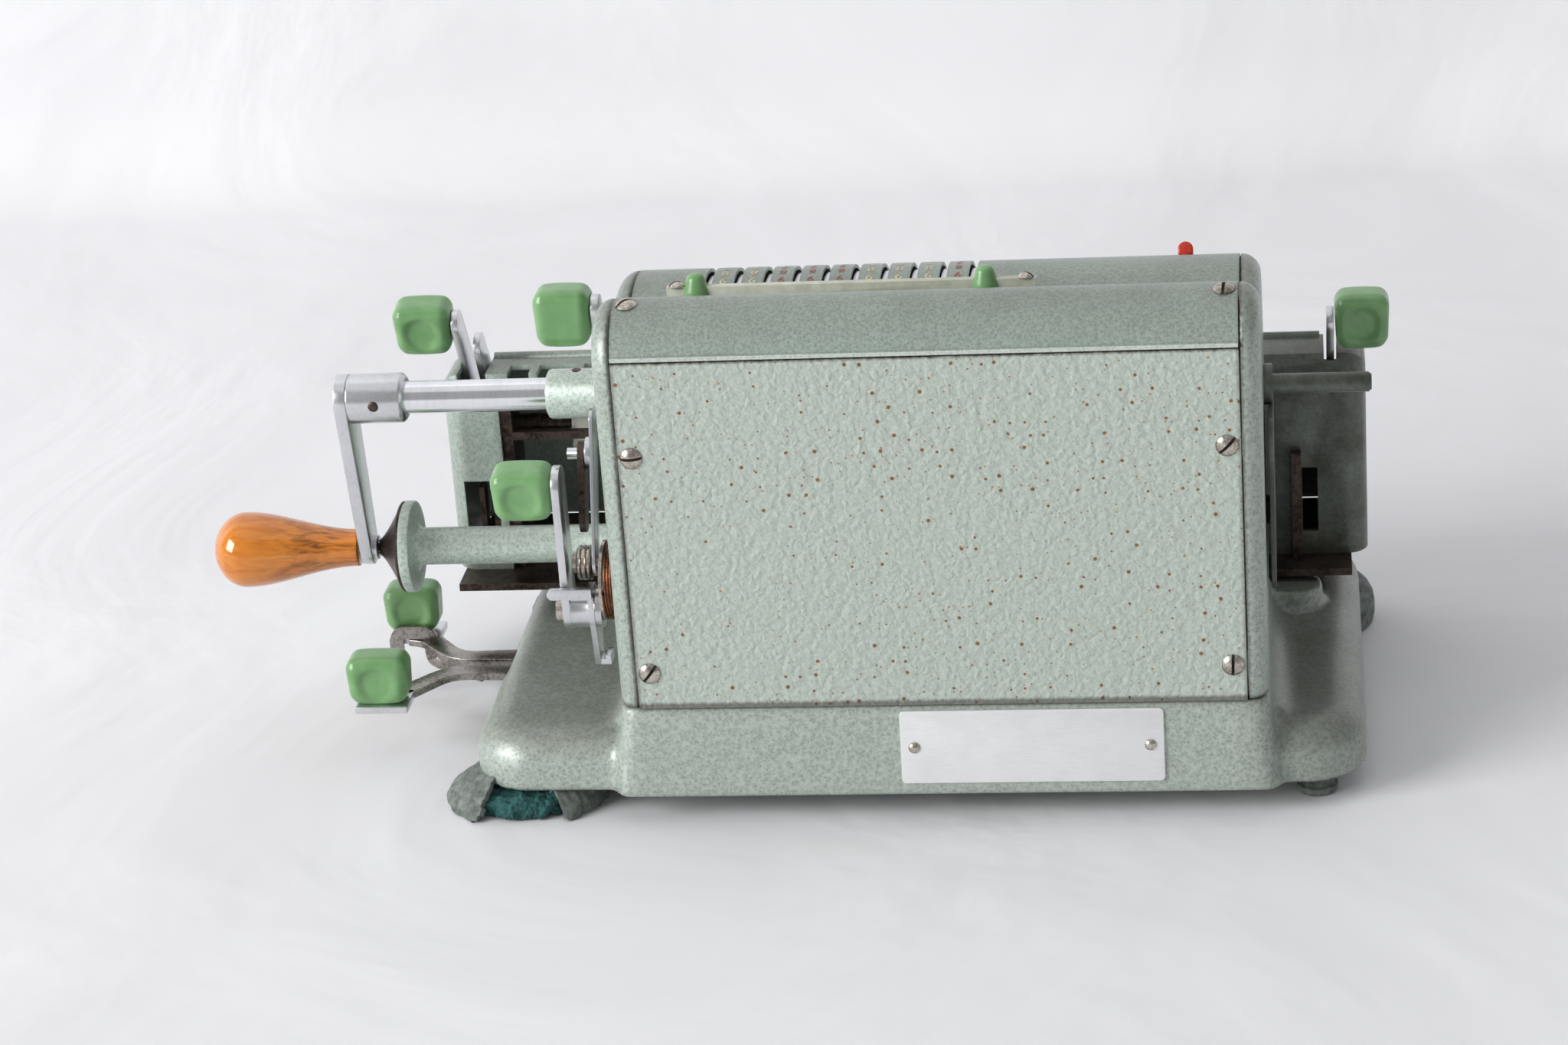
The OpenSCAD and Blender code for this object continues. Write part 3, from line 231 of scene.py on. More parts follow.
# %% [markdown]
# The rear panel is sheet steel sprayed with the same enamel, much thicker, so it
# dried with an orange-peel relief of domes about 3 mm wide with creases between
# them. A noise bends the domes, for plain cells look like scales. Rust has come
# through in pin-sized specks. A speck is the core of a Voronoi cell laid out in
# the sheet's plane; the cell's own random colour decides which of them rusted.

# %% Panel enamel


def orange_peel(name, dark, light):
    made, tree, shader, place, paint = hammered(name, dark, light, 1.3, 0.00006, 0.0, 0.15, 0.42)
    warp = add(tree, "TexNoise", {"Vector": place, "Scale": 0.3, "Detail": 2.0})
    bent = add(
        tree, "VectorMath", {0: warp.outputs["Color"], 1: (5, 5, 5), 2: place}, operation="MULTIPLY_ADD"
    )
    domes = add(
        tree, "TexVoronoi", {"Vector": bent.outputs["Vector"], "Scale": 0.36, "Smoothness": 0.35},
        feature="SMOOTH_F1",
    )
    relief = add(
        tree, "Bump", {"Height": domes.outputs["Distance"], "Strength": 0.55, "Distance": 0.0009},
        invert=True,
    )
    feed(tree, relief, {"Normal": shader.inputs["Normal"].links[0].from_socket})
    feed(tree, shader, {"Normal": relief.outputs["Normal"]})
    return made, tree, shader, place, paint


def rust(tree, shader, place, color, layers):
    """Specks over color: layers are (cells per mm, core, share of cells, colour)."""
    common = add(tree, "TexNoise", {"Vector": place, "Scale": 0.02, "Detail": 3.0})
    parts = add(tree, "SeparateXYZ", {0: place})
    flat = add(tree, "CombineXYZ", {0: parts.outputs["X"], 1: parts.outputs["Z"]})
    for scale, core, share, code in layers:
        specks = add(
            tree, "TexVoronoi", {"Vector": flat.outputs[0], "Scale": scale}, voronoi_dimensions="2D"
        )
        lot = add(tree, "SeparateXYZ", {0: specks.outputs["Color"]})
        sized = add(tree, "Math", {0: lot.outputs["Y"], 1: core}, operation="MULTIPLY")
        inside = add(
            tree, "MapRange",
            {
                "Value": specks.outputs["Distance"], "From Min": 0.0, "From Max": sized.outputs[0],
                "To Min": 1.0, "To Max": 0.0,
            },
        )
        limit = add(
            tree, "MapRange",
            {
                "Value": common.outputs["Fac"], "From Min": 0.35, "From Max": 0.62, "To Min": share * 0.4,
                "To Max": share * 1.5,
            },
        )
        chosen = add(tree, "Math", {0: lot.outputs["X"], 1: limit.outputs[0]}, operation="LESS_THAN")
        hard = add(tree, "Math", {0: inside.outputs[0], 1: 3.0}, operation="MULTIPLY", use_clamp=True)
        factor = add(tree, "Math", {0: hard.outputs[0], 1: chosen.outputs[0]}, operation="MULTIPLY")
        made = add(tree, "Mix", {0: factor.outputs[0], MIX_A: color, MIX_B: rgb(code)}, data_type="RGBA")
        color = made.outputs[MIX_OUT]
    feed(tree, shader, {"Base Color": color})
    return color


sheet, tree, shader, place, paint = orange_peel("orange_peel_enamel_on_sheet_steel", "#a9b5aa", "#bcc6bc")
paint = rust(tree, shader, place, paint, ((0.2, 0.17, 0.42, "#805632"), (0.42, 0.2, 0.2, "#a07a4c")))
seam_dirt(
    tree, shader, place, paint,
    (
        # the band at SEAM_Z is dirt and painted shadow below the rear cover's lip
        ("X", True, 102.0, 103.0, 0.45), ("Z", False, SEAM_Z - 0.6, SEAM_Z + 0.5, 0.95),
        ("Z", False, BLOCK_Z + 1.7, BLOCK_Z + 0.5, 0.7),
    ),
)
print("material", sheet.name)

# %% [markdown]
# The caps are a glossy cast phenolic in mid green, a little translucent. The
# handle is the same family of resin, cast in amber with smoke-brown streaks that
# run along it from the neck, so its noise is stretched along the handle.

# %% Resins
green, tree, shader, place = new_material(
    "cast_phenolic_green_polished", Roughness=0.3, Coat_Weight=0.2, Coat_Roughness=0.22,
    Subsurface_Weight=0.08, Subsurface_Radius=(0.3, 0.8, 0.3), Subsurface_Scale=0.003,
)
clouds = add(tree, "TexNoise", {"Vector": place, "Scale": 0.12, "Detail": 3.0, "Distortion": 0.6})
feed(tree, shader, {"Base Color": ramp(tree, clouds.outputs["Fac"], (0.3, "#699660"), (0.7, "#7aa76f"))})

amber, tree, shader, place = new_material(
    "cast_phenolic_amber_marbled", Roughness=0.1, Coat_Weight=0.6, Coat_Roughness=0.05,
    Subsurface_Weight=0.05, Subsurface_Radius=(1.0, 0.45, 0.15), Subsurface_Scale=0.004,
)
long = add(tree, "Mapping", {"Vector": place, "Scale": (0.03, 0.14, 0.14)})
veins = add(
    tree, "TexNoise",
    {"Vector": long.outputs["Vector"], "Scale": 1.5, "Detail": 6.0, "Roughness": 0.62, "Distortion": 1.4},
)
body_color = ramp(tree, veins.outputs["Fac"], (0.32, "#b9671c"), (0.5, "#cf7a20"), (0.7, "#db8b30"))
streak_scale = add(tree, "Mapping", {"Vector": place, "Scale": (0.05, 0.5, 0.5)})
streaks = add(
    tree, "TexNoise",
    {
        "Vector": streak_scale.outputs["Vector"], "Scale": 1.0, "Detail": 5.0, "Roughness": 0.65,
        "Distortion": 0.8,
    },
)
dark = add(
    tree, "MapRange", {"Value": streaks.outputs["Fac"], "From Min": 0.46, "From Max": 0.68, "To Max": 0.8}
)
parts = add(tree, "SeparateXYZ", {0: place})
neck = add(
    tree, "MapRange", {"Value": parts.outputs["X"], "From Min": 251.0, "From Max": 229.0, "To Max": 1.0}
)
factor = add(tree, "Math", {0: dark.outputs[0], 1: neck.outputs[0]}, operation="MULTIPLY")
mixed = add(tree, "Mix", {0: factor.outputs[0], MIX_A: body_color, MIX_B: rgb("#3b2413")}, data_type="RGBA")
feed(tree, shader, {"Base Color": mixed.outputs[MIX_OUT]})
print("materials", green.name, amber.name)

# %% [markdown]
# The bright pieces are chromed (the shaft), ground and nickelled (levers, arm and
# screws) or browned in oil (the inner frame and the cone); the step levers' nickel
# has gone dull. All metals keep the shader's own index of refraction, and differ in
# colour, roughness and grain. Marks of grinding and turning are finer than the
# picture shows, so they are drawn about 1 mm wide and stretched as the tool ran.

# %% Metals


def metal(name, code, other, rough, grain, stretch=(1, 1, 1), depth=0.00002, level=1.0):
    made, tree, shader, place = new_material(name, Metallic=level, Roughness=rough)
    turned = add(tree, "Mapping", {"Vector": place, "Scale": stretch})
    fine = add(
        tree, "TexNoise",
        {"Vector": turned.outputs["Vector"], "Scale": grain, "Detail": 3.0, "Roughness": 0.6},
    )
    broad = add(tree, "TexNoise", {"Vector": place, "Scale": 0.09, "Detail": 4.0})
    total = add(tree, "Math", {0: fine.outputs["Fac"], 1: broad.outputs["Fac"]}, operation="ADD")
    half = add(tree, "Math", {0: total.outputs[0], 1: 0.5}, operation="MULTIPLY")
    color = ramp(tree, half.outputs[0], (0.4, other), (0.56, code))
    coat(tree, shader, color, fine.outputs["Fac"], 0.3, depth)
    return made


chrome = metal("chromium_plate_polished", "#eef0f3", "#e6e8ec", 0.2, 0.8, (1, 0.2, 0.2), 0.000003)
satin = metal("nickelled_steel_ground", "#dcdde0", "#d0d1d4", 0.28, 2.0, (1, 0.3, 0.3), 0.00001)
aged = metal("nickelled_steel_tarnished", "#a9a49f", "#6f6862", 0.32, 1.0)
nickel = metal("nickel_plate_on_turned_steel", "#d3ccc2", "#948a7f", 0.27, 1.5)
browned = metal("oil_browned_steel", "#5a4d46", "#2c231f", 0.4, 0.6, level=0.8)
copper = metal("copper_washed_spring_wire", "#9a6248", "#55372a", 0.35, 1.0)
plate = metal("etched_aluminium_sheet_matt", "#e4e5e6", "#dedfe0", 0.48, 2.0, (0.1, 1, 1), level=0.3)
print("metals", [made.name for made in (chrome, satin, aged, nickel, browned, copper, plate)])

# %% [markdown]
# Rubber, ivory-coloured plastic, the number wheels' white, the tab's red and the
# painted shade in the screw slots. The rubber has hardened and crazed, so it is matt with a
# coarse bump of 3 mm, and where one foot crumbled its inside shows teal.

# %% Rubber and plastics


def plain(name, code, other, rough, scale, depth):
    made, tree, shader, place = new_material(name, Roughness=rough)
    grain = add(tree, "TexNoise", {"Vector": place, "Scale": scale, "Detail": 5.0, "Roughness": 0.65})
    color = ramp(tree, grain.outputs["Fac"], (0.36, other), (0.64, code))
    coat(tree, shader, color, grain.outputs["Fac"], 0.5, depth)
    return made


rubber = plain("moulded_rubber_perished", "#7f8680", "#4d5550", 0.75, 0.3, 0.0006)
teal = plain("rubber_core_crumbled_teal", "#2f6a66", "#173a3b", 0.85, 0.7, 0.0015)
ivory = plain("celluloid_ivory", "#c8cabb", "#b4b6a5", 0.4, 0.2, 0.00003)
white = plain("lacquered_brass_white", "#e7e4da", "#d8d4c8", 0.45, 0.3, 0.00002)
# painted shade: the screw slots' faces get this dark brown
slot_shade = plain("painted_shade_in_the_slots", "#33291f", "#1d1611", 0.85, 1.0, 0.00005)
red = plain("red_enamel_on_steel", "#cf3a2c", "#b52f24", 0.25, 0.3, 0.00003)
print("materials", rubber.name, teal.name, ivory.name, white.name, red.name)

# %% [markdown]
# Each CAD node keeps its mesh. The tessellated facets come with split corners, so
# a weld joins them and an edge split keeps the sharp edges. Stamped levers get the
# small bevel that every sheared edge has. The castings are remeshed finely and
# smoothed, which gives the soft edges that sand casting and thick enamel leave.

# %% Finishes on the CAD nodes


def soft_edges(thing, width, segments, degrees):
    """Bevels the edges that turn by more than degrees; width is in mm."""
    edge = thing.modifiers.new("edge", "BEVEL")
    edge.width = width * MM
    edge.segments = segments
    edge.limit_method = "ANGLE"
    edge.angle_limit = math.radians(degrees)
    edge.use_clamp_overlap = True


def dress(name, material, bevel=0.0, voxel=0.0, passes=4):
    thing = NODES[name]
    thing.data.materials.clear()
    thing.data.materials.append(material)
    for attribute in [a for a in thing.data.attributes if a.name == "custom_normal"]:
        thing.data.attributes.remove(attribute)
    thing.data.polygons.foreach_set("use_smooth", [True] * len(thing.data.polygons))
    weld = thing.modifiers.new("weld", "WELD")
    weld.merge_threshold = 2e-6
    if voxel:
        skin = thing.modifiers.new("skin", "REMESH")
        skin.mode = "VOXEL"
        skin.voxel_size = voxel * MM
        skin.use_smooth_shade = True
        soft = thing.modifiers.new("soft", "SMOOTH")
        soft.factor = 0.5
        soft.iterations = passes
        return
    if bevel:
        flat = thing.modifiers.new("flat", "DECIMATE")
        flat.decimate_type = "DISSOLVE"
        flat.angle_limit = math.radians(1)
        soft_edges(thing, bevel, 2, 50)
    split = thing.modifiers.new("split", "EDGE_SPLIT")
    split.split_angle = math.radians(34)


LEVERS = " ".join(f"setting_lever_{i}" for i in range(1, 11))
ROLES = (
    (cast, "base", {"voxel": 1.5, "passes": 5}),
    (frames, "side_frame_right side_frame_left", {"voxel": 1.2, "passes": 3}),
    (sheet, "rear_panel front_plate", {}), (smooth, "rear_cover drum_cover", {}),
    (carriage_paint, "left_bearing_plate carriage_casing", {"bevel": 0.35}),
    (nickel, "pivot_stud roller", {}),
    (browned, "carriage_rail carriage_frame lever_drum pinwheel_rotor pawl_strip", {}),
    (satin, "clear_lever_right clear_lever_left zero_lever side_lever side_link", {"bevel": 0.3}),
    (satin, LEVERS + " handle_spindle", {}), (ivory, "decimal_bar", {"bevel": 0.4}),
    (white, "result_wheels counter_wheels", {}),
)
dressed = set()
for material, names, look in ROLES:
    for name in names.split():
        dress(name, material, **look)
        dressed.add(name)
print("dressed", len(dressed), "nodes; to be rebuilt:", sorted(set(NODES) - dressed))

# %% [markdown]
# Turned and moulded pieces are rebuilt with many more sides than the CAD mesh
# has, in the same place and to the same size. Each rides the body of its node.

# %% Mesh helpers


def node_body(node):
    return next(body for body, names in BODIES.items() if node in names)


def own(thing, node, replaced=True):
    """Lets a piece ride the body of a node, and stand for that node."""
    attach(thing, node_body(node))
    if replaced:
        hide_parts(node)
    return thing


def into_scene(name, data):
    """An object of the data, linked to the scene."""
    thing = bpy.data.objects.new(name, data)
    bpy.context.scene.collection.objects.link(thing)
    return thing


def put(mesh, *materials):
    """Makes the mesh smooth, gives it its materials and puts it into the scene."""
    mesh.polygons.foreach_set("use_smooth", [True] * len(mesh.polygons))
    for material in materials:
        mesh.materials.append(material)
    return into_scene(mesh.name, mesh)


def prism_faces(n):
    """Faces between two equal outlines of n points, seen from the second one."""
    faces = [tuple(range(n)), tuple(range(2 * n - 1, n - 1, -1))]
    return faces + [(n + k, n + (k + 1) % n, (k + 1) % n, k) for k in range(n)]


def shape(name, points, faces, material, node, replaced=True, bevel=0.0, split=38):
    """A piece from points in mm and faces, with smooth shading up to the split angle."""
    mesh = bpy.data.meshes.new(name)
    mesh.from_pydata([Vector(p) * MM for p in points], [], faces)
    thing = put(mesh, material)
    own(thing, node, replaced)
    if bevel:
        soft_edges(thing, bevel, 3, 40)
    edges = thing.modifiers.new("split", "EDGE_SPLIT")
    edges.split_angle = math.radians(split)
    return thing


def turned(profile, place, axis="X", sides=96):
    """Points and faces of a revolve: profile is (distance along the axis, radius)."""
    points, faces, rings = [], [], []
    for along, r in profile:
        start = len(points)
        count = 1 if r < 1e-6 else sides
        for k in range(count):
            a = 2 * math.pi * k / sides
            u, v = r * math.cos(a), r * math.sin(a)
            local = {"X": (along, u, v), "Y": (v, along, u), "Z": (u, v, along)}[axis]
            points.append(tuple(Vector(place) + Vector(local)))
        rings.append([start + (k if count > 1 else 0) for k in range(sides)])
    for one, two in zip(rings, rings[1:]):
        for k in range(sides):
            m = (k + 1) % sides
            corners = [one[k], one[m], two[m], two[k]]
            face = [v for i, v in enumerate(corners) if v != corners[i - 1]]
            if len(set(face)) > 2:
                faces.append(face)
    return points, faces


def revolve(name, profile, place, material, node, axis="X", sides=96, replaced=True):
    points, faces = turned(profile, place, axis, sides)
    return shape(name, points, faces, material, node, replaced)


def centre_of(node):
    low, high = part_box(node)
    return (low + high) / 2 / MM


print("helpers ready")

# %% [markdown]
# A key cap is a rounded block, a little wider at the top, with a shallow round
# dish for the finger in its front and its rear face. It is shaped from a fine
# grid: corners rounded first, then dish, taper, crown and the tilt of its lever.

# %% Key caps
CAP = Vector((19.5, 15.0, 18.0))
CAP_ROUND = 4.2
DISH_R, DISH_RIM, DISH_DEPTH, DISH_DROP = 6.3, 1.7, 1.5, 0.6
BOWL_SHARE = 0.25
FACE_DEPTH = 1.5
CAP_CROWN = 0.65
TAPER_X, TAPER_Y = 0.04, 0.03


def cap_point(p, half, dished):
    """Moves a point of the plain block to its place on the cap."""
    core = half - Vector((CAP_ROUND,) * 3)
    inner = Vector(max(-core[i], min(core[i], p[i])) for i in range(3))
    out = p - inner
    if out.length > 1e-6:
        p = inner + out.normalized() * CAP_ROUND
    r = math.hypot(p.x, p.z + DISH_DROP)
    if dished and abs(p.y) > half.y - FACE_DEPTH and r < DISH_R + DISH_RIM:
        t = min(1.0, max(0.0, (DISH_R + DISH_RIM - r) / (2 * DISH_RIM)))
        rim = (1 - BOWL_SHARE) * t * t * (3 - 2 * t)
        bowl = BOWL_SHARE * max(0.0, 1 - (r / DISH_R) ** 2)
        p.y -= math.copysign(DISH_DEPTH * (rim + bowl), p.y)
    crown = CAP_CROWN * (1 - (p.x / half.x) ** 2)
    p.z += math.copysign(crown, p.z) if abs(p.z) > half.z - FACE_DEPTH else 0.0
    p.x *= 1 - TAPER_X * (1 - p.z / half.z)
    p.y *= 1 - TAPER_Y * (1 - p.z / half.z)
    return p


def key_cap(name, node, tilt, dished, wide, high, shift, cells=24):
    """One cap: wide and high stretch the common size, shift moves it in mm."""
    bm = bmesh.new()
    bmesh.ops.create_cube(bm, size=2)
    bmesh.ops.subdivide_edges(bm, edges=bm.edges[:], cuts=cells, use_grid_fill=True)
    half = Vector((CAP.x * wide, CAP.y, CAP.z * high)) / 2
    middle = centre_of(node) + Vector(shift)
    turn = Matrix.Rotation(math.radians(tilt), 3, "X")
    for v in bm.verts:
        plain_point = Vector(v.co[i] * half[i] for i in range(3))
        v.co = (middle + turn @ cap_point(plain_point, half, dished)) * MM
    mesh = bpy.data.meshes.new(name)
    bm.to_mesh(mesh)
    bm.free()
    thing = put(mesh, green)
    own(thing, node)
    soft = thing.modifiers.new("soft", "SUBSURF")
    soft.levels = soft.render_levels = 1


for name, node, tilt, dished, wide, high, shift in (
    ("cap_clear_right", "clear_key_right", -10, True, 1.1, 1.03, (0.9, 0, 0.3)),
    ("cap_clear_left", "clear_key_left", 0, True, 1.0, 1.06, (0, 0, 0.6)),
    ("cap_zero", "zero_key", 0, False, 1.03, 1.07, (0.3, 0, 0)),
    ("cap_side", "side_key", -6, True, 1.1, 0.98, (0.9, 0, 0)),
    ("cap_step_rear", "step_key_rear", 0, True, 1.16, 0.94, (1.0, 0, -0.5)),
    ("cap_step_front", "step_key_front", 0, True, 1.08, 0.92, (0.7, 0, 0.7)),
):
    key_cap(name, node, tilt, dished, wide, high, shift)
print("six caps")

# %% [markdown]
# The handle is a pear of marbled amber resin, turned and polished, on a spindle.
# Its profile is one formula: a neck that swells in a soft S, and a half ellipse.

# %% Handle
low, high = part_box("handle_grip")
grip_x, grip_len = low.x / MM, (high.x - low.x) / MM
NECK, SWELL, BORE = 6.7, 13.6, 2.6
BULB_AT, S_BEND = 0.78, 1.06
_, HANDLE_Y, HANDLE_Z = centre_of("handle_grip")


def grip_radius(t):
    """Radius at t, which is 0 at the arm and 1 at the tip."""
    if t >= BULB_AT:
        return SWELL * math.sqrt(max(0.0, 1 - ((t - BULB_AT) / (1 - BULB_AT)) ** 2))
    u = (t / BULB_AT) ** S_BEND
    return NECK + (SWELL - NECK) * u * u * (3 - 2 * u)


steps = [BULB_AT * i / 60 for i in range(60)]
steps += [BULB_AT + (1 - BULB_AT) * math.sin(math.radians(90 * i / 24)) for i in range(25)]
profile = [(grip_x, BORE), (grip_x, NECK - 0.5), (grip_x + 0.15, NECK - 0.15), (grip_x + 0.5, NECK)]
profile += [(grip_x + grip_len * t, grip_radius(t)) for t in steps if grip_len * t > 0.8]
revolve("grip", profile, (0, HANDLE_Y, HANDLE_Z), amber, "handle_grip", sides=128)
print("handle", round(grip_len, 1), "mm long")

# %% [markdown]
# The crank's shaft, its bearing boss and the hub are turned parts on one axis. The
# arm is a forged strip with ground faces, so its outline is extruded and its edges
# are bevelled. A taper pin through the hub shows as a small domed head.

# %% Crank
AXIS_Y, AXIS_Z = 21.0, 132.5
AXIS = (0, AXIS_Y, AXIS_Z)
ARM_X, ARM_T, ARM_TIP_R, HUB_X, HUB_R = 207.4, 4.5, 6.0, 187.4, 8.75
SHAFT_R, SHAFT_END = 5.7, -106.5
BOSS_R, BOSS_END = 8.7, 137.0
PIN_X, PIN_R, PIN_DOME = 197.6, 1.9, 0.55
OIL_X, OIL_R = 126.5, 1.9


def strap_outline(y0, z0, r0, y1, z1, r1, count=24):
    """(y, z) points of a strip with round ends."""
    along = Vector((y1 - y0, z1 - z0))
    a = math.atan2(along.y, along.x)
    f = math.acos((r0 - r1) / along.length)
    sweep = 2 * math.pi - 2 * f
    far = [a + f * (2 * i / count - 1) for i in range(count + 1)]
    near = [a + f + sweep * i / count for i in range(count + 1)]
    outline = [(y1 + r1 * math.cos(turn), z1 + r1 * math.sin(turn)) for turn in far]
    return outline + [(y0 + r0 * math.cos(turn), z0 + r0 * math.sin(turn)) for turn in near]


def extrude_x(name, outline, x0, x1, material, node, bevel, replaced=True):
    """A solid from a (y, z) outline between two places along X."""
    points = [(x, y, z) for x in (x0, x1) for y, z in outline]
    faces = [face[::-1] for face in prism_faces(len(outline))]
    return shape(name, points, faces, material, node, replaced, bevel)


shaft_profile = [(SHAFT_END, 0), (SHAFT_END, SHAFT_R - 0.4), (SHAFT_END + 0.4, SHAFT_R)]
shaft_profile += [(ARM_X, SHAFT_R), (ARM_X, 0)]
revolve("shaft", shaft_profile, AXIS, chrome, "crank_shaft")
boss_profile = [(SIDE_X - 0.2, BOSS_R + 0.9), (SIDE_X + 0.4, BOSS_R + 0.25), (SIDE_X + 1, BOSS_R)]
boss_profile += [(BOSS_END - 1.5, BOSS_R), (BOSS_END - 0.5, BOSS_R - 0.4), (BOSS_END, BOSS_R - 1.4)]
boss_profile += [(BOSS_END, SHAFT_R + 0.2), (BOSS_END - 3, SHAFT_R + 0.15)]
revolve("bearing_boss", boss_profile, AXIS, post_paint, "crank_bearing")
hub_profile = [
    (HUB_X + 0.1, SHAFT_R), (HUB_X, HUB_R - 1.5), (HUB_X + 0.5, HUB_R - 0.7), (HUB_X + 1.3, HUB_R - 0.05)
]
hub_profile += [
    (HUB_X + 1.6, HUB_R), (ARM_X - 0.5, HUB_R), (ARM_X - 0.2, HUB_R - 0.25), (ARM_X, HUB_R - 0.3)
]
revolve("hub", hub_profile, AXIS, satin, "crank_arm")
extrude_x(
    "arm", strap_outline(AXIS_Y, AXIS_Z, HUB_R, HANDLE_Y, HANDLE_Z, ARM_TIP_R), ARM_X, ARM_X + ARM_T, satin,
    "crank_arm", 0.5,
)
boss = [(ARM_X - 1.6, BORE), (ARM_X - 1.6, 4.0), (ARM_X - 1.3, 4.4), (ARM_X + 0.1, 4.4)]
revolve("arm_boss", boss, (0, HANDLE_Y, HANDLE_Z), satin, "crank_arm", sides=48)
pin_turns = [math.radians(a) for a in range(0, 91, 15)]
pin = [(HUB_R - 0.1 + PIN_DOME * math.cos(a), PIN_R * math.sin(a)) for a in pin_turns]
pin += [(HUB_R - 0.6, PIN_R)]
revolve("taper_pin", pin, (PIN_X, AXIS_Y, AXIS_Z), browned, "crank_arm", "Y", 32, False)
oil = [(BOSS_R + 0.12, 0), (BOSS_R + 0.12, 1.0), (BOSS_R + 0.16, 1.5), (BOSS_R - 0.2, OIL_R)]
revolve("oil_hole", oil, (OIL_X, AXIS_Y, AXIS_Z), browned, "crank_bearing", "Z", 24, False)
print("crank built")

# %% [markdown]
# The rest post holds the handle when the machine is locked. It is a painted rod
# with a flange, and a browned cone of hard steel leads the spring pin to its seat.

# %% Rest post and rod
FLANGE_X, FLANGE_R, FLANGE_T, POST_R = 192.0, 16.4, 4.0, 6.7
HANDLE = (0, HANDLE_Y, HANDLE_Z)
post = [(SIDE_X - 0.2, POST_R + 0.8), (SIDE_X + 0.5, POST_R + 0.2), (SIDE_X + 1, POST_R)]
post += [
    (FLANGE_X - 1.8, POST_R), (FLANGE_X - 0.9, POST_R + 0.7), (FLANGE_X - 0.3, POST_R + 2),
    (FLANGE_X, POST_R + 4),
]
post += [(FLANGE_X, FLANGE_R - 0.9), (FLANGE_X + 0.25, FLANGE_R - 0.3), (FLANGE_X + 0.8, FLANGE_R)]
post += [
    (FLANGE_X + FLANGE_T - 0.6, FLANGE_R), (FLANGE_X + FLANGE_T, FLANGE_R - 0.6), (FLANGE_X + FLANGE_T, 0)
]
revolve("post", post, HANDLE, post_paint, "rest_post", sides=128)
CONE_X, CONE_LEN, CONE_TIP_R, CONE_SAG = FLANGE_X + FLANGE_T, 7.9, 3, 1.25
cone = [
    (CONE_X, 0), (CONE_X, FLANGE_R - 0.6), (CONE_X + 0.25, FLANGE_R - 0.2), (CONE_X + 0.7, FLANGE_R - 0.2)
]
cone += [(CONE_X + 1.2, FLANGE_R - 0.9), (CONE_X + 1.3, FLANGE_R - 1.6)]
for t in (0.1, 0.2, 0.35, 0.5, 0.65, 0.8, 0.92, 1):
    cone_r = CONE_TIP_R + (FLANGE_R - 1.6 - CONE_TIP_R) * (1 - t) ** CONE_SAG
    cone.append((CONE_X + 1.3 + CONE_LEN * t, cone_r))
cone += [(CONE_X + 1.3 + CONE_LEN, 0)]
revolve("cone", cone, HANDLE, browned, "rest_cone", sides=128)
ROD_Y, ROD_Z, ROD_R = AXIS_Y, AXIS_Z - 2.7, 3.45
low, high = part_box("left_rod")
rod_x0, rod_x1 = low.x / MM, high.x / MM
rod = [(rod_x0, 0), (rod_x0, ROD_R - 0.85), (rod_x0 + 1.1, ROD_R), (rod_x1, ROD_R), (rod_x1, 0)]
revolve("rod", rod, (0, ROD_Y, ROD_Z), carriage_paint, "left_rod", sides=48)
print("post and rod built")

# %% [markdown]
# Screw heads are low domes with a milled slot. The dome is a small revolve; two
# pairs of cuts beside the slot keep its walls upright when its floor is pushed in.

# %% Screws and rivets
REAR_Y, HUMP_Y, HUMP_Z, HUMP_R = 88.0, 69.0, 163.4, 19.0
SCREW_X = FRAME_X - 4.5
SLOT, SLOT_DEPTH, CUT = 0.5, 1.05, 0.04
PANEL_SCREW, HUMP_SCREW, BAR_SCREW, RIVET = (3.7, 1.5), (3.7, 1.7), (2.7, 1.6), (1.9, 0.9)


def screw_head(bm, place, direction, spin, r, h, slotted=True):
    """Adds one domed head to bm, seated at place and facing direction."""
    ball = (r * r + h * h) / (2 * h)
    foot = 0.12
    profile = [(0.0, r), (0.35, r)]
    for k in (0.97, 0.9, 0.8, 0.65, 0.5, 0.35, 0.2):
        profile.append((h - ball + math.sqrt(ball**2 - (r * k) ** 2) + foot, r * k))
    points, faces = turned(profile + [(h + foot, 0)], (0, 0, 0), "Z", 48)
    part = bmesh.new()
    made = [part.verts.new(p) for p in points]
    for face in faces:
        part.faces.new([made[i] for i in face])
    if slotted:
        for cut in (-SLOT, -SLOT + CUT, SLOT - CUT, SLOT):
            everything = part.verts[:] + part.edges[:] + part.faces[:]
            bmesh.ops.bisect_plane(part, geom=everything, plane_co=(0, cut, 0), plane_no=(0, 1, 0))
        for v in part.verts:
            if abs(v.co.y) < SLOT - CUT / 2:
                v.co.z = min(v.co.z, h - SLOT_DEPTH)
        for f in part.faces:
            # the slot's faces take the second material, a painted shade
            f.material_index = int(all(abs(v.co.y) < SLOT - CUT / 2 for v in f.verts))
    facing = Vector(direction).to_track_quat("Z", "Y").to_matrix()
    turn = (facing @ Matrix.Rotation(math.radians(spin), 3, "Z")).to_4x4()
    seat = Matrix.Scale(MM, 4) @ Matrix.Translation(place) @ turn
    bmesh.ops.transform(part, matrix=seat, verts=part.verts[:])
    mesh = bpy.data.meshes.new("head")
    part.to_mesh(mesh)
    part.free()
    bm.from_mesh(mesh)
    bpy.data.meshes.remove(mesh)


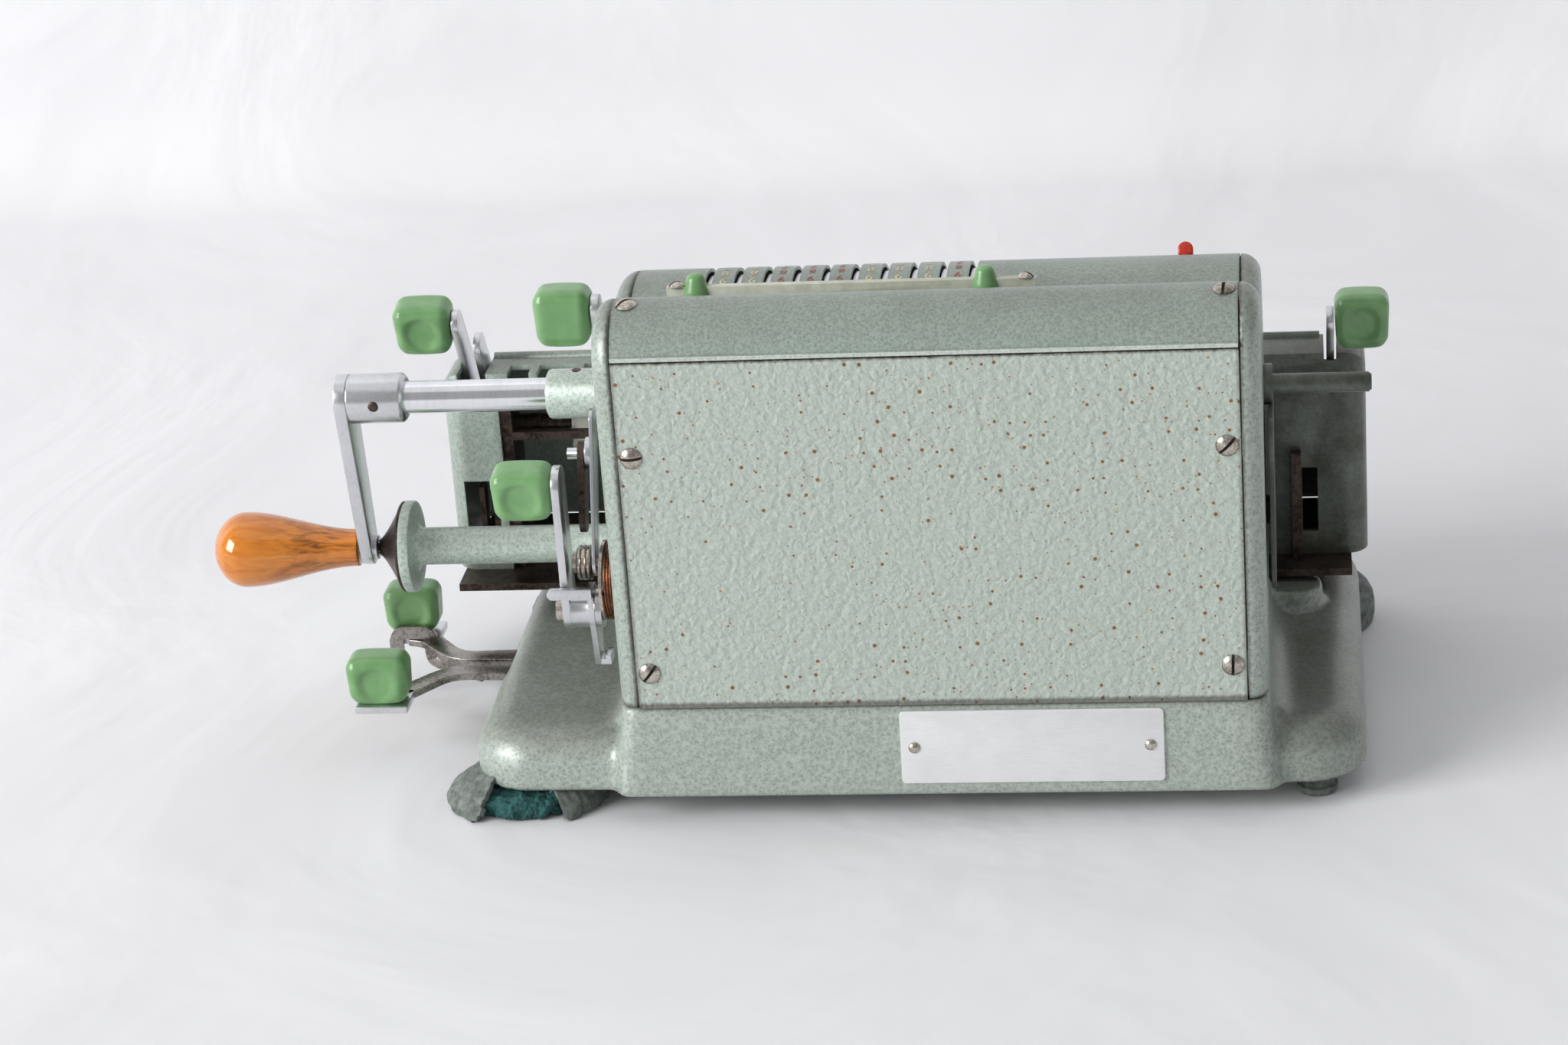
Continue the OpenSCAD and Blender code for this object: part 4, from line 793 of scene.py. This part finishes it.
heads = bmesh.new()
for s, z, spin in ((1, 55.7, 52), (1, 133.8, 3), (-1, 55.7, 88), (-1, 133.8, 45)):
    screw_head(heads, (s * SCREW_X, REAR_Y + 0.05, z), (0, 1, 0), spin, *PANEL_SCREW)
TOP_A = math.radians(80)
for s in (-1, 1):
    out = Vector((0, math.cos(TOP_A), math.sin(TOP_A)))
    seat = Vector((s * SCREW_X, HUMP_Y, HUMP_Z)) + out * (HUMP_R + 0.02)
    screw_head(heads, seat, out, 60 - 25 * s, *HUMP_SCREW)
BAR_X, BAR_Y, BAR_Z, BAR_H, BAR_END = 26.0, 48.0, 175.0, 4.8, 58.5
for s in (-1, 1):
    screw_head(heads, (BAR_X + s * BAR_END, BAR_Y, BAR_Z + BAR_H), (0, 0, 1), 20 * s, *BAR_SCREW)
PLATE_X, PLATE_W, PLATE_H, PLATE_RISE, BLOCK_H = -74.5, 88.7, 25.8, 4.8, 32.6
RIVET_IN, TILT = 4.6, math.atan2(3, BLOCK_H - 1)


def on_wall(x, out, up):
    """A place on the block's sloping rear wall."""
    rise = up - BLOCK_H
    return (
        x, REAR_Y + out * math.cos(TILT) - rise * math.sin(TILT),
        BLOCK_Z + out * math.sin(TILT) + rise * math.cos(TILT),
    )


wall_out = (0, math.cos(TILT), math.sin(TILT))
for x in (PLATE_X + RIVET_IN, PLATE_X + PLATE_W - RIVET_IN):
    seat = on_wall(x, 0.85, PLATE_RISE + PLATE_H / 2)
    screw_head(heads, seat, wall_out, 0, *RIVET, slotted=False)
mesh = bpy.data.meshes.new("screws")
heads.to_mesh(mesh)
heads.free()
screws = put(mesh, nickel, slot_shade)
own(screws, "fasteners")
screws.modifiers.new("split", "EDGE_SPLIT").split_angle = math.radians(30)
print("screws", len(mesh.polygons), "faces")

# %% [markdown]
# The rear cover's lower edge is rolled over into a bead, and its enamel is lighter:
# worn paint and a painted highlight along the edge. It is a thin half-round strip along the seam.

# %% Bead of the rear cover
# worn paint and painted highlight: the bead's enamel is lighter than the cover's
lip, *_ = hammered("enamel_worn_and_painted_highlight_on_edge", "#b9c4bb", "#dbe3db", 1.1, 0.00005, 0.0, 0.45, 0.3)
BEAD_OUT, BEAD_R = 0.55, 0.7
bead = [(REAR_Y - 0.4, SEAM_Z + 0.05)]
for degrees in range(0, 181, 20):
    a = math.radians(degrees)
    bead.append((REAR_Y - 0.1 + BEAD_OUT * math.sin(a), SEAM_Z + 0.75 - BEAD_R * math.cos(a)))
bead += [(REAR_Y - 0.4, SEAM_Z + 1.45)]
extrude_x("cover_bead", bead, 0.2 - FRAME_X, FRAME_X - 0.2, lip, "rear_cover", 0.0, False)
print("bead", 2 * FRAME_X, "mm long")

# %% [markdown]
# The nameplate is thin etched sheet with round corners. Its lettering is left out,
# so only the bare plate is made, as an outline of arcs with a fine bevel.

# %% Nameplate
PLATE_R, PLATE_T, PLATE_GAP = 1.6, 0.8, 0.05
outline = []
for cx, cy, start in (
    (PLATE_W - PLATE_R, PLATE_H - PLATE_R, 0),
    (PLATE_R, PLATE_H - PLATE_R, 90),
    (PLATE_R, PLATE_R, 180),
    (PLATE_W - PLATE_R, PLATE_R, 270),
):
    for i in range(7):
        a = math.radians(start + 15 * i)
        outline.append((cx + PLATE_R * math.cos(a), cy + PLATE_R * math.sin(a)))
points = [
    on_wall(PLATE_X + x, d, PLATE_RISE + y)
    for d in (PLATE_GAP, PLATE_T + PLATE_GAP)
    for x, y in outline
]
shape("bare_plate", points, prism_faces(len(outline)), plate, "nameplate", bevel=0.12)
print("plate", PLATE_W, "by", PLATE_H, "mm")

# %% [markdown]
# The rubber feet hug the base's corners. The front ones are whole, and a revolve
# of the boot's section is all they need. The rear left one has lost its boot, so
# only the turned stub that held it is left.

# %% Whole feet and bare stub
FOOT_R, STUB_R = 22.8, 7
FOOT_RIGHT, FOOT_LEFT, FOOT_REAR, FOOT_FRONT = 148.0, -125.0, 68.0, -75.0


def crumple(x, y, z, seed, scale=0.22):
    return noise.fractal(Vector((x * scale, y * scale, z * scale + seed)), 0.7, 2.0, 4)


def boot(name, node, x, y):
    wall = [(0.3, FOOT_R - 3), (0, FOOT_R - 1.6), (0.8, FOOT_R - 0.7), (3.5, FOOT_R - 0.1), (7, FOOT_R)]
    wall += [
        (11, FOOT_R - 0.6), (14, FOOT_R - 2.2), (16.4, FOOT_R - 4.6), (17.6, FOOT_R - 7.5),
        (17.8, FOOT_R - 9.5),
    ]
    revolve(name, [(0.3, 0)] + wall, (x, y, 0), rubber, node, "Z")


boot("boot_front_right", "foot_front_right", FOOT_RIGHT, FOOT_FRONT)
boot("boot_front_left", "foot_front_left", FOOT_LEFT, FOOT_FRONT)
stub = [(0, 0), (0, STUB_R - 0.8), (0.6, STUB_R), (2.6, STUB_R), (3.2, STUB_R - 1.2)]
stub += [(4.8, STUB_R - 1.2), (5.4, STUB_R - 0.1), (10, STUB_R - 0.1), (10, 0)]
revolve("bare_stub", stub, (FOOT_LEFT, FOOT_REAR, 0), rubber, "foot_rear_left", "Z", 48)
print("two boots and a stub")

# %% [markdown]
# The rear right boot has perished: its grey skin has torn open at the back and
# sagged outwards, and the crumbling teal core shows in the gap. The skin is a grid
# of rings whose torn cells are left out, and a noise makes the edge ragged. It is
# pressed a little flat front to rear, because the base's corner holds it in.

# %% Torn foot
SKIN = [(27.5, 0.2), (28.2, 1.2), (27.6, 3.2), (26.0, 5.6), (24.0, 8.0), (21.5, 10.2)]
SKIN += [(18.8, 12.0), (16.2, 13.2), (14.4, 13.6)]
AROUND, SKIN_T, SAG, WRINKLE = 240, 2.4, 1.5, 0.7
PRESSED, REAR_MOST = 0.87, 92.8
TEAR_FROM, TEAR_TO, RAGGED = 58, 126, 7
points, faces = [], []
for r, z in SKIN:
    for k in range(AROUND):
        a = 2 * math.pi * k / AROUND
        c, s = math.cos(a), math.sin(a)
        wave = SAG * crumple(FOOT_RIGHT + 20 * c, FOOT_REAR + 20 * s, z, 3.0, 0.09)
        rr = r + wave + WRINKLE * crumple(FOOT_RIGHT + r * c, FOOT_REAR + r * s, z, 7.0)
        y = min(REAR_MOST, FOOT_REAR + PRESSED * rr * s)
        points.append((FOOT_RIGHT + rr * c, y, max(0.1, z + 0.5 * wave * (z > 1))))


def torn(angle, ring):
    """Whether the skin is gone here: a ragged gap at the rear."""
    edge = 0.0 if angle < (TEAR_FROM + TEAR_TO) / 2 else 9.0
    ragged = RAGGED * noise.noise(Vector((ring * 0.55, 1.7, edge)))
    return TEAR_FROM - ragged < angle < TEAR_TO + ragged


for ring in range(len(SKIN) - 1):
    for k in range(AROUND):
        if not torn(360 * (k + 0.5) / AROUND, ring):
            m = (k + 1) % AROUND
            lower, upper = ring * AROUND, (ring + 1) * AROUND
            faces.append((lower + k, lower + m, upper + m, upper + k))
skin = shape("boot_torn", points, faces, rubber, "foot_rear_right", split=60)
thick = skin.modifiers.new("thick", "SOLIDIFY")
thick.thickness = SKIN_T * MM
thick.offset = -1
skin.modifiers.move(skin.modifiers.find("thick"), 0)
lump = [(0.35, 20), (2.5, 21), (5.0, 21), (7.4, 20), (9.4, 18.5), (9.8, 12), (9.8, 0)]
points, faces = turned(lump, (FOOT_RIGHT, FOOT_REAR, 0), "Z", 120)
core = shape("core_crumbled", points, faces, teal, "foot_rear_right", split=80)
fine = core.modifiers.new("fine", "SUBSURF")
fine.subdivision_type = "SIMPLE"
fine.levels = fine.render_levels = 2
core.modifiers.move(core.modifiers.find("fine"), 0)
lumps = bpy.data.textures.new("lumps", "CLOUDS")
lumps.noise_scale = 0.004
lumps.noise_depth = 3
rough = core.modifiers.new("rough", "DISPLACE")
rough.texture = lumps
rough.texture_coords = "GLOBAL"
rough.strength = 0.0042
rough.mid_level = 0.75
core.modifiers.move(core.modifiers.find("rough"), 1)
print("torn foot", len(faces), "faces in its core")

# %% [markdown]
# A step key sits on an arm of steel strip that leaves the base through a slot and
# bends to the front or the rear. The strip follows a smooth path, with its own
# width and thickness, and a bent bracket stiffens the far one.

# %% Step levers


def smooth_path(points, count=10):
    """Catmull-Rom points through the given ones."""
    ends = [Vector(points[0]) * 2 - Vector(points[1])] + [Vector(p) for p in points]
    ends.append(Vector(points[-1]) * 2 - Vector(points[-2]))
    path = []
    for a, b, c, d in zip(ends, ends[1:], ends[2:], ends[3:]):
        for i in range(count):
            t = i / count
            bend = (2 * a - 5 * b + 4 * c - d) * t * t + (3 * b - a - 3 * c + d) * t**3
            path.append(0.5 * (2 * b + (c - a) * t + bend))
    return path + [Vector(points[-1])]


def strap(name, path, up, width, thick, material, node, bevel=0.35, replaced=True):
    """A strip along path, lying flat to up."""
    points, faces = [], []
    for i, p in enumerate(path):
        along = (path[min(i + 1, len(path) - 1)] - path[max(i - 1, 0)]).normalized()
        across = Vector(up).cross(along).normalized() * (width(i / (len(path) - 1)) / 2)
        rise = along.cross(across).normalized() * (thick / 2)
        points += [p + across + rise, p - across + rise, p - across - rise, p + across - rise]
    for i in range(len(path) - 1):
        a, b = 4 * i, 4 * i + 4
        faces += [(a + k, a + (k + 1) % 4, b + (k + 1) % 4, b + k) for k in range(4)]
    faces += [(3, 2, 1, 0), tuple(len(points) - 4 + k for k in range(4))]
    return shape(name, points, faces, material, node, replaced, bevel)


STEP_Y, STEP_Z, STEP_KEY_X, STRIP_T = 4.0, 22.0, 204.0, 2.6
STRIP_APART, KEY_APART, PAD_X, PAD_W = 6.5, 30.5, 9.5, 15.0
BRACKET_W, BRACKET_T = 4.9, 2.4


def strip_width(t):
    """The strip is waisted halfway along."""
    return 9.5 - 2.0 * math.sin(math.pi * t)


for side_name, s in (("rear", 1), ("front", -1)):
    y = STEP_Y + s * STRIP_APART
    lever = f"step_lever_{side_name}"
    route = [(150, y, STEP_Z), (168, y, STEP_Z), (180, y, STEP_Z), (187, y + s * 3, STEP_Z)]
    route += [(193, y + s * 10, STEP_Z), (198, y + s * 16, STEP_Z), (204, y + s * 19, STEP_Z)]
    arm_path = smooth_path(route)
    strap(f"step_arm_{side_name}", arm_path, (0, 0, 1), strip_width, STRIP_T, aged, lever)
    pad = [Vector((STEP_KEY_X + e * PAD_X, STEP_Y + s * KEY_APART, STEP_Z)) for e in (-1, 1)]
    strap(f"step_pad_{side_name}", pad, (0, 0, 1), lambda t: PAD_W, STRIP_T, satin, lever)
arch_y = STEP_Y - KEY_APART + 8.9
arch = [(210.6, 8), (210.6, 14), (210.4, 20), (210.2, 23.6), (208.2, 26), (203.8, 26.2), (199.4, 25.8)]
arch += [(197.4, 23.4), (197.4, 18.6), (196.6, 15.4), (193.0, 14.2), (186, 14.6), (176, 15.4)]
bracket = smooth_path([(x, arch_y if x > 195 else arch_y + (195 - x) * 0.8, z) for x, z in arch])
arch_up = (0, 1, 0)
strap("step_arch", bracket, arch_up, lambda t: BRACKET_W, BRACKET_T, aged, lever, 0.3, False)
print("step levers built")

# %% [markdown]
# The side lever's return spring is close-wound copper-washed wire. A curve with a
# round bevel along a helix is the shortest way to it, and stays smooth close up.

# %% Return spring
SPRING_Y, SPRING_Z, SPRING_R, WIRE, COIL_PITCH = 59.0, 78.1, 13.3, 0.42, 0.95
coil = bpy.data.curves.new("spring", "CURVE")
coil.dimensions = "3D"
coil.bevel_depth = WIRE * MM
coil.bevel_resolution = 2
turns, per_turn = 5, 40
line = coil.splines.new("POLY")
line.points.add(turns * per_turn)
for i, point in enumerate(line.points):
    a = 2 * math.pi * i / per_turn
    x = SIDE_X + 0.5 + COIL_PITCH * i / per_turn
    y, z = SPRING_Y + SPRING_R * math.cos(a), SPRING_Z + SPRING_R * math.sin(a)
    point.co = (x * MM, y * MM, z * MM, 1)
coil.materials.append(copper)
own(into_scene("wound_spring", coil), "return_spring")
print("spring of", turns, "turns")

# %% [markdown]
# Two markers slide along the ivory bar to show the decimal places. Each is a small
# moulded dome with a wide skirt, so a revolve pressed a little flat makes it.

# %% Decimal markers
MARKER_FLAT = 0.92
for hand in ("right", "left"):
    node = f"decimal_slider_{hand}"
    low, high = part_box(node)
    x, z0 = (low.x + high.x) / 2 / MM, low.z / MM
    rise = high.z / MM - z0
    dome = [(0, 4.4), (0.05 * rise, 4.7), (0.25 * rise, 4.55), (0.42 * rise, 4.2), (0.6 * rise, 3.6)]
    dome += [(0.8 * rise, 3.2), (0.92 * rise, 2.7), (0.98 * rise, 1.8), (rise, 0)]
    points, faces = turned(dome, (0, 0, 0), "Z", 64)
    placed = [(x + px, BAR_Y + py * MARKER_FLAT, z0 + pz) for px, py, pz in points]
    shape(f"marker_{hand}", placed, faces, green, node, split=70)
print("two markers")

# %% [markdown]
# The red tab reaches out of the eleventh slot of the drum cover. It is stamped and
# painted: a segment of a ring that turns on the drum, a stem and a rounded tip.

# %% Red tab
TAB_X, TAB_A, RING_IN, RING_OUT, RING_T = -84.0, 120, 33.5, 39.5, 2.2
TIP_R, TIP_AT, TIP_T, STEM = 2.6, 44.7, 3.0, 1.1
sweep_a = [math.radians(TAB_A - 40 + 3 * i) for i in range(31)]
ring = [(AXIS_Y + RING_OUT * math.cos(a), AXIS_Z + RING_OUT * math.sin(a)) for a in sweep_a]
ring += [(AXIS_Y + RING_IN * math.cos(a), AXIS_Z + RING_IN * math.sin(a)) for a in reversed(sweep_a)]
extrude_x("tab_ring", ring, TAB_X - RING_T / 2, TAB_X + RING_T / 2, red, "red_tab", 0.2)
tab_out = Vector((0, math.cos(math.radians(TAB_A)), math.sin(math.radians(TAB_A))))
tab_side = Vector((0, -tab_out.z, tab_out.y))
tip_turns = [math.radians(a) for a in range(0, 181, 12)]
rounded = [(TIP_R * math.cos(a), TIP_AT + TIP_R * math.sin(a)) for a in tip_turns]
shoulder, root = TIP_AT - 2.0, RING_OUT - 1.0
rounded += [(-TIP_R, shoulder), (-STEM, shoulder), (-STEM, root)]
rounded += [(STEM, root), (STEM, shoulder), (TIP_R, shoulder)]
hub_point = Vector((TAB_X, AXIS_Y, AXIS_Z))
points = [
    hub_point + Vector((x, 0, 0)) + tab_out * r + tab_side * t
    for t in (-TIP_T / 2, TIP_T / 2)
    for x, r in rounded
]
shape("tab_tip", points, prism_faces(len(rounded)), red, "red_tab", bevel=0.6)
print("tab top at z", round(max(p.z for p in points), 1), "mm")

# %% [markdown]
# The setting drum's cover is marked with the figures 0 to 9 beside each slot, to be
# read from the front. Outlines of the figures are bent round the drum as thin paint.

# %% Figures on the drum
DRUM, PAINT = 42.0, 0.04
FIRST_SLOT_X, SLOT_PITCH = 77.0, 10
FIGURE_H, NINE_AT, FIGURE_STEP = 3.9, 82, 9.2
RED_STRIPS = (2, 3, 4, 8)
gold = plain("signwriting_enamel_gold", "#d5c9a2", "#c2b58a", 0.4, 0.5, 0.00002)
maroon = plain("signwriting_enamel_red", "#9c4f4a", "#86403c", 0.4, 0.5, 0.00002)


def figure_outline(digit, height):
    curve = bpy.data.curves.new(f"figure_{digit}", "FONT")
    curve.body = str(digit)
    curve.size = height / 0.7
    curve.align_x = "CENTER"
    curve.align_y = "CENTER"
    curve.resolution_u = 3
    thing = into_scene(curve.name, curve)
    bpy.context.view_layer.update()
    mesh = bpy.data.meshes.new_from_object(thing.evaluated_get(bpy.context.evaluated_depsgraph_get()))
    points = [tuple(v.co) for v in mesh.vertices]
    faces = [tuple(f.vertices) for f in mesh.polygons]
    bpy.data.objects.remove(thing)
    bpy.data.curves.remove(curve)
    return points, faces


outlines = [figure_outline(d, FIGURE_H) for d in range(10)]
for k in range(9):
    strip_x = FIRST_SLOT_X - SLOT_PITCH * (k + 0.5)
    points, faces = [], []
    for digit, (outline, polygons) in enumerate(outlines):
        angle = math.radians(NINE_AT + (9 - digit) * FIGURE_STEP)
        first = len(points)
        for u, v, _ in outline:
            a = angle - v / DRUM
            r = DRUM + PAINT
            points.append((strip_x + u, AXIS_Y + r * math.cos(a), AXIS_Z + r * math.sin(a)))
        faces += [tuple(first + i for i in face) for face in polygons]
    ink = maroon if k in RED_STRIPS else gold
    shape(f"figures_{k + 1}", points, faces, ink, "drum_cover", False)
print("figures on nine strips")

# %% [markdown]
# The camera was fitted to the photograph by its long straight edges and the
# screws' places: a long lens behind the machine, looking down by 22 degrees and
# rolled a little. Its axes are worked out from these angles.

# %% Camera
target = Vector((48.555, 88.0, 109.856)) * MM
yaw, pitch, roll, away = -0.1393, 0.3844, -0.0727, 1.32463
back = Vector((math.sin(yaw) * math.cos(pitch), math.cos(yaw) * math.cos(pitch), math.sin(pitch)))
side = (-back).cross(Vector((0, 0, 1))).normalized()
up = side.cross(-back)
right_axis = math.cos(roll) * side + math.sin(roll) * up
up_axis = -math.sin(roll) * side + math.cos(roll) * up
camera = into_scene("camera", bpy.data.cameras.new("camera"))
SENSOR, LENS = 36, 91.8
camera.data.sensor_width = SENSOR
camera.data.lens = LENS
camera.data.clip_start = 0.05
camera.data.clip_end = 60
axes = Matrix((right_axis, up_axis, back)).transposed().to_4x4()
camera.matrix_world = Matrix.Translation(target + back * away) @ axes
bpy.context.scene.camera = camera
print("camera at", [round(v, 4) for v in camera.location])

# %% [markdown]
# A large soft window stands on the crank's side and a weak sky above, in a bright
# room. One large lamp gives the soft shadow to the other side that the picture has.

# %% Lamps and room


def lamp(name, place, aim, power, width, height):
    light = bpy.data.lights.new(name, "AREA")
    light.shape = "RECTANGLE"
    light.size, light.size_y = width, height
    light.energy = power
    thing = into_scene(name, light)
    thing.location = place
    thing.rotation_mode = "QUATERNION"
    thing.rotation_quaternion = (Vector(aim) - Vector(place)).to_track_quat("-Z", "Y")


lamp("window", (4.2, 2.7, 2.1), (0.05, 0.0, 0.08), 258, 2.7, 2.5)
lamp("sky", (0.3, 0.4, 2.4), (0, 0, 0.1), 7, 2.2, 2.2)
world = bpy.data.worlds.new("room")
bpy.context.scene.world = world
world.use_nodes = True
room = world.node_tree.nodes["Background"]
room.inputs["Color"].default_value = rgb("#f4f4f6")
room.inputs["Strength"].default_value = 0.37
bpy.context.scene.view_settings.view_transform = "Standard"
print("two lamps and a room")

# %% [markdown]
# White cloth lies below the machine and rises into the wall behind it, so the
# floor is one sheet swept through a gentle bend, with broad shallow folds.

# %% Cloth floor and wall
cloth, tree, shader, place = new_material("white_cotton_cloth", Roughness=0.9)
creases = add(tree, "TexNoise", {"Vector": place, "Scale": 0.004, "Detail": 5.0, "Distortion": 0.8})
color = ramp(tree, creases.outputs["Fac"], (0.3, "#e5e5e7"), (0.7, "#ededef"))
coat(tree, shader, color, creases.outputs["Fac"], 0.35, 0.02)
BEND_R, WALL_Y, WALL_H, REACH, SKEW = 0.05, -0.67, 6.0, 9, 0.024
rows = [(REACH, 0.0), (2.0, 0.0), (0.0, 0.0)]
for degrees in range(0, 91, 15):
    a = math.radians(degrees)
    rows.append((WALL_Y - BEND_R * math.sin(a) + BEND_R, BEND_R - BEND_R * math.cos(a)))
rows.append((WALL_Y, WALL_H))
points = [(x, y + SKEW * x, z) for y, z in rows for x in (-REACH, REACH)]
faces = [(2 * i, 2 * i + 1, 2 * i + 3, 2 * i + 2) for i in range(len(rows) - 1)]
mesh = bpy.data.meshes.new("floor")
mesh.from_pydata(points, [], faces)
floor = put(mesh, cloth)
print("floor of", len(faces), "strips")
